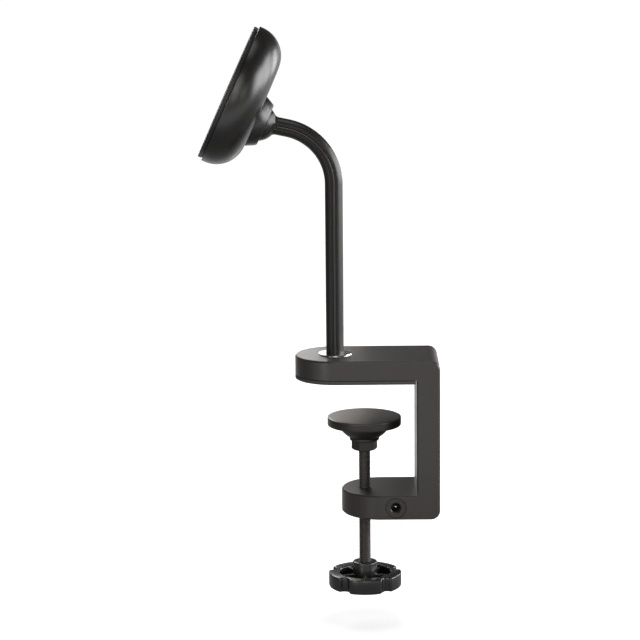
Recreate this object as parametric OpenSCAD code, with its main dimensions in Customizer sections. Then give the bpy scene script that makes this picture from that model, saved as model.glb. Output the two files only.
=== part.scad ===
// Wireless charging phone mount on a desk clamp.
// Origin: underside of the soft jaw pad, where it rests on the desk, on the arm's axis.
// +Z is up, +X runs from the arm to the spine of the clamp, -Y is the side with the power socket.

/* [Clamp frame] */
// Width of the clamp along the desk edge
jaw_w = 33.5; // [30:0.5:38]
// Thickness of the upper jaw
jaw_t = 8.1; // [7.6:0.1:10]
// Thickness of the soft pad under the upper jaw
pad_t = 1.8; // [1.2:0.1:2.6]
// Arm axis to the inner face of the spine
throat_depth = 33.7; // [31:0.5:40]
// Thickness of the spine
spine_t = 9.7; // [9:0.1:12]
// Underside of the jaw pad to the top of the lower jaw
throat_h = 47.6; // [44:0.5:60]
// Thickness of the lower jaw
lower_t = 10.2; // [10:0.1:12]
// Height of the seam in the spine above the lower jaw
seam_rise = 7.5; // [5:0.5:12]
// Screw axis to the centre of the lower jaw's round end
end_shift = 7.1; // [4:0.1:9]
// Radius of the spine's outer corners
corner_r = 3.8; // [2:0.1:4.4]
// Chamfer on the frame's long edges
edge_c = 0.6; // [0.3:0.1:0.9]

/* [Clamp screw] */
// Arm axis to the screw axis
screw_x = 12.1; // [9:0.1:14]
// Outside diameter of the screw's thread
rod_d = 4.9; // [4.4:0.1:5.2]
// Jaw pad to the top of the pressure plate as drawn
plate_gap = 16.6; // [14:0.2:18]
// Diameter of the pressure plate
plate_d = 31; // [28:0.1:34]
// Thickness of the rigid part of the pressure plate
plate_t = 3.0; // [2.4:0.1:3.6]
// Thickness of the cushion on the pressure plate
cushion_t = 1.0; // [0.6:0.1:1.4]
// Height of the bowl under the pressure plate
bowl_h = 5.2; // [4.8:0.1:6]
// Diameter of the bowl where it meets the plate
bowl_d = 22.4; // [20:0.1:25]
// Diameter of the flange on the retaining nut
flange_d = 12.6; // [12:0.1:13.4]
// Thickness of the flange on the retaining nut
flange_t = 1.3; // [1:0.1:1.6]
// Width across flats of the retaining nut
hex_af = 9.5; // [9:0.1:10]
// Height of the retaining nut's hexagon
hex_h = 4; // [3.4:0.1:4.6]
// Diameter of the ball on the screw's upper end
tip_d = 6.4; // [6:0.1:6.6]
// Lower jaw to the top of the knob's hub as drawn
knob_drop = 22.3; // [20:0.1:26]

/* [Knob] */
// Outside diameter of the knob
knob_d = 30.8; // [28:0.2:34]
// Height of the knob's rim
rim_h = 6.3; // [5.6:0.1:8]
// Height of the hub above the rim
hub_rise = 4.5; // [3:0.1:6]
// Diameter of the hub
hub_d = 10.3; // [9.6:0.1:11]
// Number of lobes
lobes = 5; // [4:1:7]
// Radius of the finger scallops
scallop_r = 2.2; // [1.8:0.1:2.6]
// Depth of the finger scallops
scallop_depth = 2.3; // [1.6:0.1:2.6]
// Rounding of the lobes' corners
lobe_r = 0.9; // [0.5:0.1:1.2]
// Rounding of the knob's rim
rim_r = 1.2; // [0.6:0.1:1.6]
// Thickness of the solid band outside the pockets
band_t = 4.6; // [4:0.1:5]
// Thickness of the knob's floor
floor_t = 1.6; // [1.2:0.1:2.2]
// Thickness of the ribs
rib_t = 1.6; // [1.2:0.1:2]
// Drop of the ribs below the rim
rib_drop = 0.9; // [0.4:0.1:1.4]

/* [Arm] */
// Diameter of the arm
arm_d = 7.4; // [7:0.1:7.8]
// Top of the upper jaw to the start of the bend
arm_rise = 71.7; // [50:1:100]
// Radius of the bend at the arm's centre line
bend_r = 24; // [18:0.5:32]
// Angle of the bend
bend_angle = 78; // [70:1:86]
// End of the bend to the centre of the ball
neck_l = 12.2; // [11.8:0.1:16]
// Diameter of the ball
ball_d = 15.4; // [15:0.1:15.8]
// Fillet between the ball and the arm
neck_r = 2.2; // [1.4:0.1:2.8]
// Width of the cable groove
groove_w = 2.8; // [2.2:0.1:3]
// Depth of the cable groove
groove_depth = 1.6; // [1.3:0.1:1.8]
// Diameter of the cable in the groove
cable_d = 1.15; // [1:0.05:1.2]
// Diameter of the collar at the arm's foot
collar_d = 14.4; // [13.6:0.1:16]
// Thickness of the collar's flange
collar_t = 0.5; // [0.4:0.1:1]

/* [Charging head] */
// Diameter of the rear shell
head_d = 60; // [58:0.5:64]
// Depth of the head from face to back
head_depth = 15.9; // [15.6:0.1:18]
// Radius of the rear shell's rounded edge
dome_r = 12.4; // [11.4:0.1:12.6]
// Wall of the rear shell
shell_wall = 2.0; // [1.6:0.1:2.2]
// Step from the shell's edge in to the front disc
disc_inset = 0.9; // [0.6:0.1:1.6]
// Thickness of the front disc
disc_t = 1.55; // [1.2:0.05:2]
// Width of the groove behind the front disc
seam_w = 0.4; // [0.3:0.05:0.6]
// Ball centre to the charging face
face_reach = 17.2; // [17:0.1:18.4]
// Height of the face's centre above the ball
face_rise = 6.2; // [4:0.1:8]
// Lean of the charging face from upright
head_tilt = 24.5; // [18:0.5:30]
// Diameter of the lock nut against the shell
nut_base_d = 22.4; // [22:0.1:24]
// Diameter of the lock nut at its rear
nut_rear_d = 18; // [17.8:0.1:19]
// Ball centre to the rear face of the lock nut
nut_reach = 3.15; // [2.9:0.05:3.4]
// Gap between the shell's wall and the magnet ring
magnet_inset = 0.7; // [0.5:0.1:1.2]
// Width of the magnet ring
magnet_w = 4.0; // [3:0.1:4.2]
// Number of magnets in the ring
magnets = 18; // [12:1:24]
// Width of the charging coil's winding
coil_w = 11; // [8:0.5:13]

/* [Power socket] */
// Screw axis to the socket's axis
jack_shift = 12.8; // [11.4:0.1:14]
// Diameter of the socket's face
jack_d = 8.8; // [8.4:0.1:9]
// Length of the socket's body
jack_l = 9.5; // [8.5:0.1:10.5]
// Diameter of the plug hole
plug_d = 3.9; // [3.6:0.1:4]
// Depth of the plug hole
plug_depth = 8; // [7:0.1:8.2]
// Diameter of the centre pin
pin_d = 1.3; // [1.1:0.1:1.5]
// Centre pin's tip behind the socket's face
pin_recess = 2.4; // [1.6:0.1:3]

/* [Hidden] */
$fn = 72;
eps = 0.01;

// Clearances
run_c = 0.05;       // radial, a turning shaft in its bore
face_c = 0.1;       // between flat faces that turn on each other
fit_c = 0.03;       // radial, a fixed piece in its hole
loose_c = 0.2;      // round a screw or a lead
joint_swell = 0.04; // added where two round stretches meet
lap = 0.1;          // overlap of such stretches
cut = 1;            // how far a cutter runs past the face it opens

// Frame
top_z = pad_t + jaw_t;
low_z = -throat_h;
base_z = low_z - lower_t;
mid_z = low_z - lower_t / 2;
seam_z = low_z + seam_rise;
spine_out = throat_depth + spine_t;
spine_mid = throat_depth + spine_t / 2;
end_x = screw_x + end_shift;
half_w = jaw_w / 2;
pad_end_gap = 0.4;
bolt_d = 4;
bolt_inset = 5.8;
bolt_y = half_w - bolt_inset;
bolt_head_d = 7;
bolt_head_h = 4;
bolt_head_z = base_z + 0.4;
bolt_grip = 9.5;
bolt_key = 3;
bolt_key_depth = 2;
lead_d = 2.4;
lead_bore = lead_d + 2 * loose_c;
lead_y = -3.5;

// Pocket under the upper jaw
foot_pocket_d = 16;
foot_pocket_h = 3.6;
foot_pocket_z = pad_t + foot_pocket_h;
sleeve_d = arm_d + 2.4;
lip_t = 1.2;
stud_d = 5;
stud_bore = 2;
stud_recess = 0.5;
foot_z = foot_pocket_z + lip_t + face_c;
stud_low = pad_t + stud_recess;
foot_nut_h = 2.5;
foot_nut_af = 8;
foot_nut_z = stud_low + 0.1;
washer_d = 13;
foot_washer_t = foot_pocket_z - face_c - foot_nut_z - foot_nut_h;

// Arm
arm_r = arm_d / 2;
bend_z = top_z + arm_rise;
bend_end = [-bend_r + bend_r * cos(bend_angle), 0, bend_z + bend_r * sin(bend_angle)];
ball_r = ball_d / 2;
ball_at = bend_end + neck_l * [-sin(bend_angle), 0, cos(bend_angle)];
neck_angle = asin((arm_r + neck_r) / (ball_r + neck_r));
neck_start = (ball_r + neck_r) * cos(neck_angle);
cable_sunk = 0.35;
cable_way = cable_d + 0.5;
cable_off = arm_r - cable_sunk - cable_d / 2;
groove_end = neck_l - neck_start + 0.6;
cable_in = groove_end - 0.9;
cable_low_z = foot_z + 2.6;

// Ball joint, measured from the ball's centre along the head's axis
seat_gap = 0.05;
seat_t = 0.85;
seat_in = ball_r + seat_gap;
seat_out = seat_in + seat_t;
socket_r = seat_out + seat_gap;
seat_from = 22;
seat_to = 68;
ring_from = 84;
ring_to = 102;
ring_gap = 0.06;
back_z = face_reach - head_depth;
stub_low = -0.6;
stub_gap = 0.15;
stub_wall = 0.75;
socket_wall = 1.4;
stub_r = socket_r + stub_wall;
cup_r = socket_r + socket_wall;
nut_in = stub_r + run_c;
nut_lip_r = ball_r + 0.1;
ring_low = socket_r * cos(ring_to) - ring_gap;
lead_hole_r = 1.6;

// Head, measured from the face's centre
head_r = head_d / 2;
edge_depth = head_depth - dome_r;
front_z = -disc_t - seam_w;
disc_d = head_d - 2 * disc_inset;
disc_edge = 0.3;
disc_step = 0.8;
magnet_t = 1.9;
magnet_gap = 0.5;
coil_t = 1.2;
ferrite_t = 0.7;
ferrite_edge = 0.2;
carrier_t = 1.2;
carrier_gap = 0.3;
stack_z = front_z - face_c;
carrier_z = stack_z - coil_t - ferrite_t;
carrier_back = carrier_z - carrier_t;
peg_d = 3;
peg_h = 1.4;
board_t = 1.0;
board_z = carrier_back - peg_h;
board_gap = 0.8;
board_bore_r = 7;
// Components on the board: x, y, length, width, height
chips = [[5, -7, 6, 6, 1.2], [4, 4, 7, 5, 1.8], [13, -4, 2.4, 8, 1]];
boss_d = 4.6;
small_d = 2;
small_head_d = 3.4;
small_head_t = 1.2;
small_l = 5;
magnet_od = head_d - 2 * shell_wall - 2 * magnet_inset;
screw_pcr = magnet_od / 2 - magnet_w - small_head_d / 2 - face_c;
coil_od = 2 * (screw_pcr - small_head_d / 2 - ferrite_edge - face_c);
coil_id = coil_od - 2 * coil_w;
board_r = screw_pcr - boss_d / 2 - board_gap;
head_wire_d = 0.9;
head_wire_rise = 0.7;
head_wire_drop = 1.2;
head_wire_x = 4;

// Clamp screw, from the rest position
plate_top = -plate_gap;
plate_low = plate_top - cushion_t - plate_t;
bowl_low = plate_low - bowl_h;
bowl_foot_r = flange_d / 2 - face_c;
bowl_rise = (pow(bowl_d / 2, 2) - pow(bowl_foot_r, 2) - pow(bowl_h, 2)) / (2 * bowl_h);
bowl_r = norm([bowl_d / 2, bowl_rise]);
flange_low = bowl_low - flange_t;
hex_low = flange_low - hex_h;
tip_r = tip_d / 2;
cup_in = tip_r + seat_gap;
cup_t = 1.1;
cup_out = cup_in + cup_t;
cup_seat = cup_out + seat_gap;
roof_t = 1.1;
tip_z = plate_top - cushion_t - roof_t - cup_seat;
tip_neck = 3.6;
tip_neck_l = 1.6;
cup_mouth = 1.4;
cup_depth = 2.6;
spigot_r = cup_seat + 0.6;
spigot_gap = 0.3;
hex_bore = rod_d + 2.2;
hex_turn = 8;
cushion_crown = 0.35;
crown_w = 4;
knob_top = base_z - knob_drop;
rim_top = knob_top - hub_rise;
knob_low = rim_top - rim_h;
rod_low = knob_low + floor_t + 0.6;
bush_d = 8.4;
bush_l = 8;
insert_d = 7.4;
insert_l = 8;

// Knob's outline
knob_r = knob_d / 2;
lobe_turn = 360 / lobes;
scallop_at = knob_r - scallop_depth + scallop_r;
corner_at = knob_r - lobe_r;
corner_turn = acos((corner_at * corner_at + scallop_at * scallop_at - pow(scallop_r + lobe_r, 2))
    / (2 * corner_at * scallop_at));
corner_dir = atan2(-corner_at * sin(corner_turn), scallop_at - corner_at * cos(corner_turn));

// Power socket
jack_x = screw_x + jack_shift;
jack_face = -half_w + 0.2;
plug_lead_in = 0.5;
pin_point = 0.4;
pin_tail = 0.6;
contact_from = 3.2;
contact_w = 1.2;
contact_t = 0.4;
contact_gap = 0.1;
contact_tail = 1;

// Points along an arc in the plane, with both ends
function arc(c, r, a0, a1, n) =
    [for (i = [0:n]) c + r * [cos(a0 + (a1 - a0) * i / n), sin(a0 + (a1 - a0) * i / n)]];

// Round rod between two points
module rod(a, b, d) {
    v = b - a;
    l = norm(v);
    translate(a) rotate([0, acos(v[2] / l), atan2(v[1], v[0])]) cylinder(d = d, h = l);
}

// Lead through a list of points, with rounded joints a hair thicker than the lead
module lead(points, d) {
    for (i = [0:len(points) - 2]) rod(points[i], points[i + 1], d);
    for (i = [1:len(points) - 2]) translate(points[i]) sphere(d = d + joint_swell);
}

// Hexagonal prism, a flat facing +X
module hexagon(af, h) {
    rotate(30) cylinder(d = af / cos(30), h = h, $fn = 6);
}

module ring(od, id, h) {
    difference() {
        cylinder(d = od, h = h);
        translate([0, 0, -cut]) cylinder(d = id, h = h + 2 * cut);
    }
}

// Part of a ball shell between two angles from +Z
module ball_zone(r_in, r_out, a0, a1) {
    far = 2 * r_out;
    intersection() {
        difference() {
            sphere(r = r_out);
            sphere(r = r_in);
        }
        rotate_extrude() polygon([[0, 0], far * [sin(a0), cos(a0)], far * [sin(a1), cos(a1)]]);
    }
}

module at_bend_end() {
    translate(bend_end) rotate([0, -bend_angle, 0]) children();
}

// Ball's centre, +Z along the head's axis out of the charging face
module at_ball() {
    translate(ball_at) rotate([0, head_tilt - 90, 0]) children();
}

// Centre of the charging face, +Z out of it
module at_face() {
    at_ball() translate([face_rise, 0, face_reach]) children();
}

module at_screw(z) {
    translate([screw_x, 0, z]) children();
}

// Chamfer cutters: a square bar on its corner, straight or round a corner
module cut_x(x0, x1, y, z) {
    s = edge_c * sqrt(2);
    translate([x0, y, z]) rotate([45, 0, 0]) translate([0, -s / 2, -s / 2]) cube([x1 - x0, s, s]);
}

module cut_z(x, y, z0, z1) {
    s = edge_c * sqrt(2);
    translate([x, y, z0]) rotate(45) translate([-s / 2, -s / 2, 0]) cube([s, s, z1 - z0]);
}

module cut_round(r, a) {
    rotate_extrude(angle = a) translate([r, 0]) rotate(45) square(edge_c * sqrt(2), center = true);
}

// Block between x0 and x1 with the jaw's width
module slab(x0, x1, z0, z1) {
    translate([x0, -half_w, z0]) cube([x1 - x0, jaw_w, z1 - z0]);
}

module upper_frame() {
    corner_x = spine_out - corner_r;
    corner_z = top_z - corner_r;
    color([0.22, 0.20, 0.19]) difference() {
        union() {
            translate([0, 0, pad_t]) cylinder(r = half_w, h = jaw_t);
            slab(0, corner_x, pad_t, top_z);
            slab(throat_depth, spine_out, seam_z, corner_z);
            translate([corner_x, half_w, corner_z]) rotate([90, 0, 0]) cylinder(r = corner_r, h = jaw_w);
        }
        // Chamfers along the outside edges
        translate([0, 0, top_z]) rotate(90) cut_round(half_w, 180);
        for (s = [-1, 1]) {
            cut_x(0, corner_x, s * half_w, top_z);
            translate([corner_x, s * half_w, corner_z]) rotate([90, 0, 0]) cut_round(corner_r, 90);
            cut_z(spine_out, s * half_w, seam_z - cut, corner_z);
            cut_z(throat_depth, s * half_w, seam_z - cut, pad_t - edge_c);
        }
        // Seat of the arm's collar and the pocket for its nut
        translate([0, 0, pad_t]) cylinder(d = sleeve_d + 2 * fit_c, h = jaw_t + cut);
        translate([0, 0, pad_t - cut]) cylinder(d = foot_pocket_d, h = foot_pocket_h + cut);
        // Way for the lead: a slot over the pad and a bore down the spine
        translate([0, lead_y - lead_bore / 2, pad_t - cut])
            cube([spine_mid + lead_bore / 2, lead_bore, lead_bore + cut]);
        translate([spine_mid, lead_y, seam_z - cut])
            cylinder(d = lead_bore, h = pad_t + lead_bore - seam_z + cut);
        for (s = [-1, 1]) translate([spine_mid, s * bolt_y, seam_z - cut])
            cylinder(d = bolt_d + 2 * fit_c, h = bolt_grip + 2 * cut);
    }
}

module lower_jaw() {
    corner_x = spine_out - corner_r;
    corner_z = base_z + corner_r;
    color([0.25, 0.23, 0.22]) difference() {
        union() {
            translate([end_x, 0, base_z]) cylinder(r = half_w, h = lower_t);
            slab(end_x, corner_x, base_z, low_z);
            slab(throat_depth, spine_out, corner_z, seam_z);
            translate([corner_x, half_w, corner_z]) rotate([90, 0, 0]) cylinder(r = corner_r, h = jaw_w);
        }
        for (z = [base_z, low_z]) translate([end_x, 0, z]) rotate(90) cut_round(half_w, 180);
        for (s = [-1, 1]) {
            cut_x(end_x, corner_x, s * half_w, base_z);
            cut_x(end_x, throat_depth, s * half_w, low_z);
            translate([corner_x, s * half_w, corner_z]) rotate([90, 90, 0]) mirror([1, 0, 0]) rotate(90)
                cut_round(corner_r, 90);
            cut_z(spine_out, s * half_w, corner_z, seam_z + cut);
            cut_z(throat_depth, s * half_w, low_z + edge_c, seam_z + cut);
        }
        // Screw: bush from below, clearance above it
        at_screw(base_z - cut) cylinder(d = bush_d + 2 * fit_c, h = bush_l + cut);
        at_screw(base_z) cylinder(d = rod_d + 2 * loose_c, h = lower_t + cut);
        // Power socket and the lead behind it
        at_jack(-half_w - cut) cylinder(d = jack_d + 2 * fit_c, h = half_w + cut + lead_y + lead_bore / 2);
        translate([jack_x, lead_y, mid_z]) rotate([0, 90, 0]) cylinder(d = lead_bore, h = spine_mid - jack_x);
        translate([spine_mid, lead_y, mid_z - lead_bore / 2])
            cylinder(d = lead_bore, h = seam_z - mid_z + lead_bore);
        for (s = [-1, 1]) translate([spine_mid, s * bolt_y, base_z - cut]) {
            cylinder(d = bolt_d + 2 * loose_c, h = lower_t + seam_rise + 2 * cut);
            cylinder(d = bolt_head_d + 2 * loose_c, h = cut + bolt_head_z - base_z + bolt_head_h);
        }
    }
}

module jaw_pad() {
    color([0.30, 0.28, 0.27]) union() {
        cylinder(r = half_w, h = pad_t);
        slab(0, throat_depth - pad_end_gap, 0, pad_t);
    }
}

// Two cap screws that hold the lower jaw to the spine, from below
module frame_screws() {
    color([0.35, 0.35, 0.36]) for (s = [-1, 1]) translate([spine_mid, s * bolt_y, bolt_head_z]) difference() {
        union() {
            cylinder(d = bolt_head_d, h = bolt_head_h);
            cylinder(d = bolt_d, h = seam_z - bolt_head_z + bolt_grip);
        }
        translate([0, 0, -cut]) hexagon(bolt_key, bolt_key_depth + cut);
    }
}

// Bright flanged bush that the arm turns in
module foot_collar() {
    color([0.75, 0.74, 0.73]) difference() {
        union() {
            translate([0, 0, top_z]) cylinder(d1 = collar_d, d2 = collar_d - collar_t, h = collar_t);
            translate([0, 0, foot_pocket_z]) cylinder(d = sleeve_d, h = top_z - foot_pocket_z + collar_t / 2);
        }
        translate([0, 0, foot_pocket_z + lip_t]) cylinder(d = arm_d + 2 * run_c, h = jaw_t);
        translate([0, 0, foot_pocket_z - cut]) cylinder(d = stud_d + 2 * run_c, h = jaw_t);
    }
}

module thread_bush() {
    color([0.70, 0.56, 0.28]) at_screw(base_z) ring(bush_d, rod_d + 2 * run_c, bush_l);
}

// Power socket, its face just inside the hole
module at_jack(y) {
    translate([jack_x, y, mid_z]) rotate([-90, 0, 0]) children();
}

module power_jack() {
    color([0.12, 0.12, 0.12]) at_jack(jack_face) difference() {
        cylinder(d = jack_d, h = jack_l);
        translate([0, 0, -cut]) cylinder(d = plug_d, h = plug_depth + cut);
        translate([0, 0, -eps]) cylinder(d1 = plug_d + 2 * plug_lead_in, d2 = plug_d, h = plug_lead_in);
        translate([0, 0, -cut]) cylinder(d = pin_d + 2 * fit_c, h = jack_l + 2 * cut);
        // Slot for the contact at the side of the hole
        translate([0, -contact_w / 2 - contact_gap, contact_from - loose_c])
            cube([plug_d / 2 + contact_t + 2 * contact_gap, contact_w + 2 * contact_gap, jack_l]);
    }
}

module jack_pin() {
    color([0.80, 0.78, 0.72]) at_jack(jack_face + pin_recess) union() {
        cylinder(d1 = pin_d / 2, d2 = pin_d, h = pin_point);
        translate([0, 0, pin_point]) cylinder(d = pin_d, h = jack_l - pin_recess - pin_point + pin_tail);
    }
}

module jack_contact() {
    color([0.80, 0.78, 0.72]) at_jack(jack_face + contact_from)
        translate([plug_d / 2 + contact_gap, -contact_w / 2, 0])
            cube([contact_t, contact_w, jack_l - contact_from + contact_tail]);
}

// Lead from the socket up the spine to the arm's foot
module frame_lead() {
    up_z = pad_t + lead_bore / 2;
    color([0.10, 0.10, 0.10]) lead([[jack_x + jack_d / 2 - 1, lead_y, mid_z], [spine_mid, lead_y, mid_z],
        [spine_mid, lead_y, up_z], [foot_pocket_d / 2 - 1, lead_y, up_z]], lead_d);
}

// Groove for the cable, one cutter for each stretch of the arm
module groove() {
    d = groove_depth + cut;
    y0 = arm_r - groove_depth;
    neck_w = groove_w - joint_swell;
    neck_y = y0 + joint_swell;
    translate([-groove_w / 2, -y0 - d, foot_z - cut]) cube([groove_w, d, bend_z - foot_z + cut]);
    translate([-bend_r, 0, bend_z]) rotate([90, 0, 0]) rotate_extrude(angle = bend_angle)
        translate([bend_r - groove_w / 2, y0]) square([groove_w, d]);
    at_bend_end() translate([-neck_w / 2, -neck_y - d, -lap]) cube([neck_w, d, groove_end + lap]);
    at_bend_end() translate([0, -neck_y, groove_end]) rotate([90, 0, 0]) cylinder(d = neck_w, h = d);
}

// Ball with its fillet into the arm, axis +Z, the arm below
module ball_neck() {
    c = [arm_r + neck_r, -neck_start];
    sphere(r = ball_r);
    rotate_extrude() polygon(concat([[0, -neck_start - 1], [arm_r, -neck_start - 1]],
        arc(c, neck_r, 180, 90 + neck_angle + 2, 8),
        [[ball_r * sin(neck_angle) - 0.4, -ball_r * cos(neck_angle) + 0.4], [0, 0]]));
}

module arm() {
    color([0.16, 0.15, 0.15]) difference() {
        union() {
            translate([0, 0, foot_z]) cylinder(d = arm_d, h = bend_z - foot_z);
            translate([-bend_r, 0, bend_z]) rotate([90, 0, 0]) rotate_extrude(angle = bend_angle)
                translate([bend_r, 0]) circle(d = arm_d);
            at_bend_end() translate([0, 0, -lap]) cylinder(d = arm_d + joint_swell, h = neck_l - neck_start);
            at_bend_end() translate([0, 0, neck_l]) ball_neck();
            translate([0, 0, stud_low]) cylinder(d = stud_d, h = foot_z - stud_low + lap);
        }
        groove();
        // Cable ways into the foot and through the ball
        translate([0, 0, stud_low - cut])
            cylinder(d = stud_bore, h = cable_low_z - stud_low + cut + cable_way / 2);
        translate([0, -arm_r, cable_low_z]) rotate([-90, 0, 0]) cylinder(d = stud_bore, h = arm_r);
        at_bend_end() rod([0, -arm_r, cable_in], [0, 0, cable_in], cable_way);
        at_bend_end() translate([0, 0, cable_in - cable_way / 2])
            cylinder(d = cable_way, h = neck_l + ball_r + cut + cable_way / 2 - cable_in);
    }
}

// Cable in the groove, through the foot and the ball
module arm_cable() {
    color([0.05, 0.05, 0.05]) union() {
        lead([[0, 0, stud_low], [0, 0, cable_low_z], [0, -cable_off, cable_low_z], [0, -cable_off, bend_z]],
            cable_d);
        translate([-bend_r, -cable_off, bend_z]) rotate([90, 0, 0]) rotate_extrude(angle = bend_angle)
            translate([bend_r, 0]) circle(d = cable_d);
        at_bend_end() lead([[0, -cable_off, -lap], [0, -cable_off, cable_in], [0, 0, cable_in],
            [0, 0, neck_l + ball_r - 0.4]], cable_d + joint_swell);
    }
}

module arm_washer() {
    color([0.60, 0.60, 0.61]) translate([0, 0, foot_pocket_z - face_c - foot_washer_t])
        ring(washer_d, stud_d + 2 * fit_c, foot_washer_t);
}

module arm_nut() {
    color([0.60, 0.60, 0.61]) difference() {
        translate([0, 0, foot_nut_z]) hexagon(foot_nut_af, foot_nut_h);
        translate([0, 0, foot_nut_z - cut]) cylinder(d = stud_d + 2 * fit_c, h = foot_nut_h + 2 * cut);
    }
}

// Low-friction cup in front of the ball
module ball_seat() {
    color([0.85, 0.85, 0.82]) at_ball() ball_zone(seat_in, seat_out, seat_from, seat_to);
}

// Low-friction ring round the ball, squeezed by the lock nut
module seat_ring() {
    color([0.85, 0.85, 0.82]) at_ball() ball_zone(seat_in, seat_out, ring_from, ring_to);
}

module lock_nut() {
    nut_top = back_z - face_c;
    color([0.14, 0.13, 0.13]) at_ball() difference() {
        translate([0, 0, -nut_reach]) cylinder(d1 = nut_rear_d, d2 = nut_base_d, h = nut_reach + nut_top);
        sphere(r = nut_lip_r);
        intersection() {
            sphere(r = socket_r);
            translate([0, 0, ring_low]) cylinder(r = head_r, h = head_r);
        }
        translate([0, 0, stub_low - stub_gap]) cylinder(r = nut_in, h = head_depth);
    }
}

// Outline of the rear shell, half section, z measured from the face
function shell_section(d) = concat([[0, -head_depth + d], [head_r - dome_r, -head_depth + d]],
    arc([head_r - dome_r, -edge_depth], dome_r - d, -90, 0, 18));

module head_shell() {
    inner_r = head_r - shell_wall;
    color([0.10, 0.10, 0.10]) difference() {
        union() {
            at_face() difference() {
                rotate_extrude() polygon(concat(shell_section(0), [[head_r, front_z], [0, front_z]]));
                rotate_extrude()
                    polygon(concat(shell_section(shell_wall), [[inner_r, front_z + cut], [0, front_z + cut]]));
            }
            // Bosses for the carrier screws
            at_face() for (a = [60:120:300]) rotate(a) translate([screw_pcr, 0, -head_depth + shell_wall])
                cylinder(d = boss_d, h = head_depth - shell_wall + carrier_back);
            // Ball socket inside and its threaded stub outside
            at_ball() intersection() {
                sphere(r = cup_r);
                translate([0, 0, back_z + eps]) cylinder(r = cup_r, h = cup_r);
            }
            at_ball() translate([0, 0, stub_low]) cylinder(r = stub_r, h = back_z - stub_low + shell_wall);
        }
        at_ball() sphere(r = socket_r);
        at_ball() cylinder(r = lead_hole_r, h = cup_r + cut);
        at_face() for (a = [60:120:300]) rotate(a) translate([screw_pcr, 0, carrier_back - small_l - loose_c])
            cylinder(d = small_d + 2 * fit_c, h = small_l + loose_c + cut);
    }
}

module front_disc() {
    rear_r = min(disc_d / 2 - disc_step, head_r - shell_wall - face_c);
    color([0.06, 0.06, 0.06]) at_face() union() {
        translate([0, 0, -disc_edge]) cylinder(d1 = disc_d, d2 = disc_d - 2 * disc_edge, h = disc_edge);
        translate([0, 0, -disc_t]) cylinder(d = disc_d, h = disc_t - disc_edge);
        translate([0, 0, stack_z]) cylinder(r = rear_r, h = seam_w + face_c + eps);
    }
}

module magnet_ring() {
    bar = magnet_w + 2 * cut;
    color([0.70, 0.70, 0.72]) at_face() translate([0, 0, stack_z - magnet_t]) difference() {
        ring(magnet_od, magnet_od - 2 * magnet_w, magnet_t);
        for (i = [0:magnets - 1]) rotate(i * 360 / magnets)
            translate([magnet_od / 2 + cut - bar, -magnet_gap / 2, -cut])
                cube([bar, magnet_gap, magnet_t + 2 * cut]);
    }
}

module charging_coil() {
    color([0.72, 0.42, 0.22]) at_face() translate([0, 0, stack_z - coil_t]) ring(coil_od, coil_id, coil_t);
}

module ferrite_plate() {
    color([0.25, 0.25, 0.26]) at_face() translate([0, 0, carrier_z])
        cylinder(d = coil_od + 2 * ferrite_edge, h = ferrite_t);
}

// Plate that carries the magnets, coil and board
module coil_carrier() {
    carrier_r = head_r - shell_wall - carrier_gap;
    color([0.30, 0.30, 0.31]) at_face() difference() {
        union() {
            translate([0, 0, carrier_back]) cylinder(r = carrier_r, h = carrier_t);
            for (a = [15:90:285]) rotate(a) translate([board_r - peg_d, 0, board_z])
                cylinder(d = peg_d, h = peg_h + eps);
        }
        for (a = [60:120:300]) rotate(a) translate([screw_pcr, 0, carrier_back - cut])
            cylinder(d = small_d + 2 * loose_c, h = carrier_t + 2 * cut);
    }
}

module carrier_screws() {
    color([0.55, 0.55, 0.56]) at_face()
    for (a = [60:120:300]) rotate(a) translate([screw_pcr, 0, carrier_z]) union() {
        cylinder(d = small_head_d, h = small_head_t);
        translate([0, 0, -small_l]) cylinder(d = small_d, h = small_l + eps);
    }
}

// Board with its components, open round the ball socket
module circuit_board() {
    color([0.05, 0.25, 0.15]) at_face() difference() {
        union() {
            translate([0, 0, board_z - board_t]) cylinder(r = board_r, h = board_t);
            for (c = chips) translate([c[0], c[1], board_z - board_t - c[4]]) cube([c[2], c[3], c[4] + eps]);
        }
        translate([-face_rise, 0, board_z - board_t - cut]) cylinder(r = board_bore_r, h = board_t + 2 * cut);
    }
}

// Wires from the ball socket to the board
module head_lead() {
    under_z = board_z - board_t - head_wire_drop;
    over_z = board_z + head_wire_rise;
    color([0.5, 0.08, 0.06]) at_face() lead([[-face_rise, 0, under_z], [-face_rise, 0, over_z],
        [head_wire_x, 0, over_z], [head_wire_x, 0, board_z]], head_wire_d);
}

// Cup between the screw's ball and the pressure plate
module swivel_cup() {
    color([0.85, 0.85, 0.82]) at_screw(tip_z) difference() {
        sphere(r = cup_out);
        sphere(r = cup_in);
        translate([0, 0, -cup_out - cut]) cylinder(d = tip_neck + cup_mouth, h = cup_out + cut);
        translate([0, 0, -cup_out - cut]) cylinder(r = cup_out + cut, h = cup_out + cut - cup_depth);
    }
}

module screw_rod() {
    color([0.55, 0.52, 0.50]) union() {
        at_screw(tip_z) sphere(r = tip_r);
        at_screw(tip_z - tip_r - tip_neck_l) cylinder(d = tip_neck, h = tip_r + tip_neck_l);
        at_screw(rod_low) cylinder(d = rod_d, h = tip_z - tip_r - tip_neck_l - rod_low);
    }
}

module retaining_nut() {
    color([0.20, 0.18, 0.17]) difference() {
        union() {
            at_screw(flange_low) cylinder(d = flange_d, h = flange_t);
            at_screw(hex_low) rotate(hex_turn - 30) hexagon(hex_af, hex_h + eps);
            at_screw(flange_low) cylinder(r = spigot_r - fit_c, h = tip_z - flange_low - spigot_gap);
        }
        at_screw(tip_z) sphere(r = cup_seat);
        at_screw(hex_low - cut) cylinder(d = hex_bore, h = tip_z - hex_low + cut);
    }
}

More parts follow.
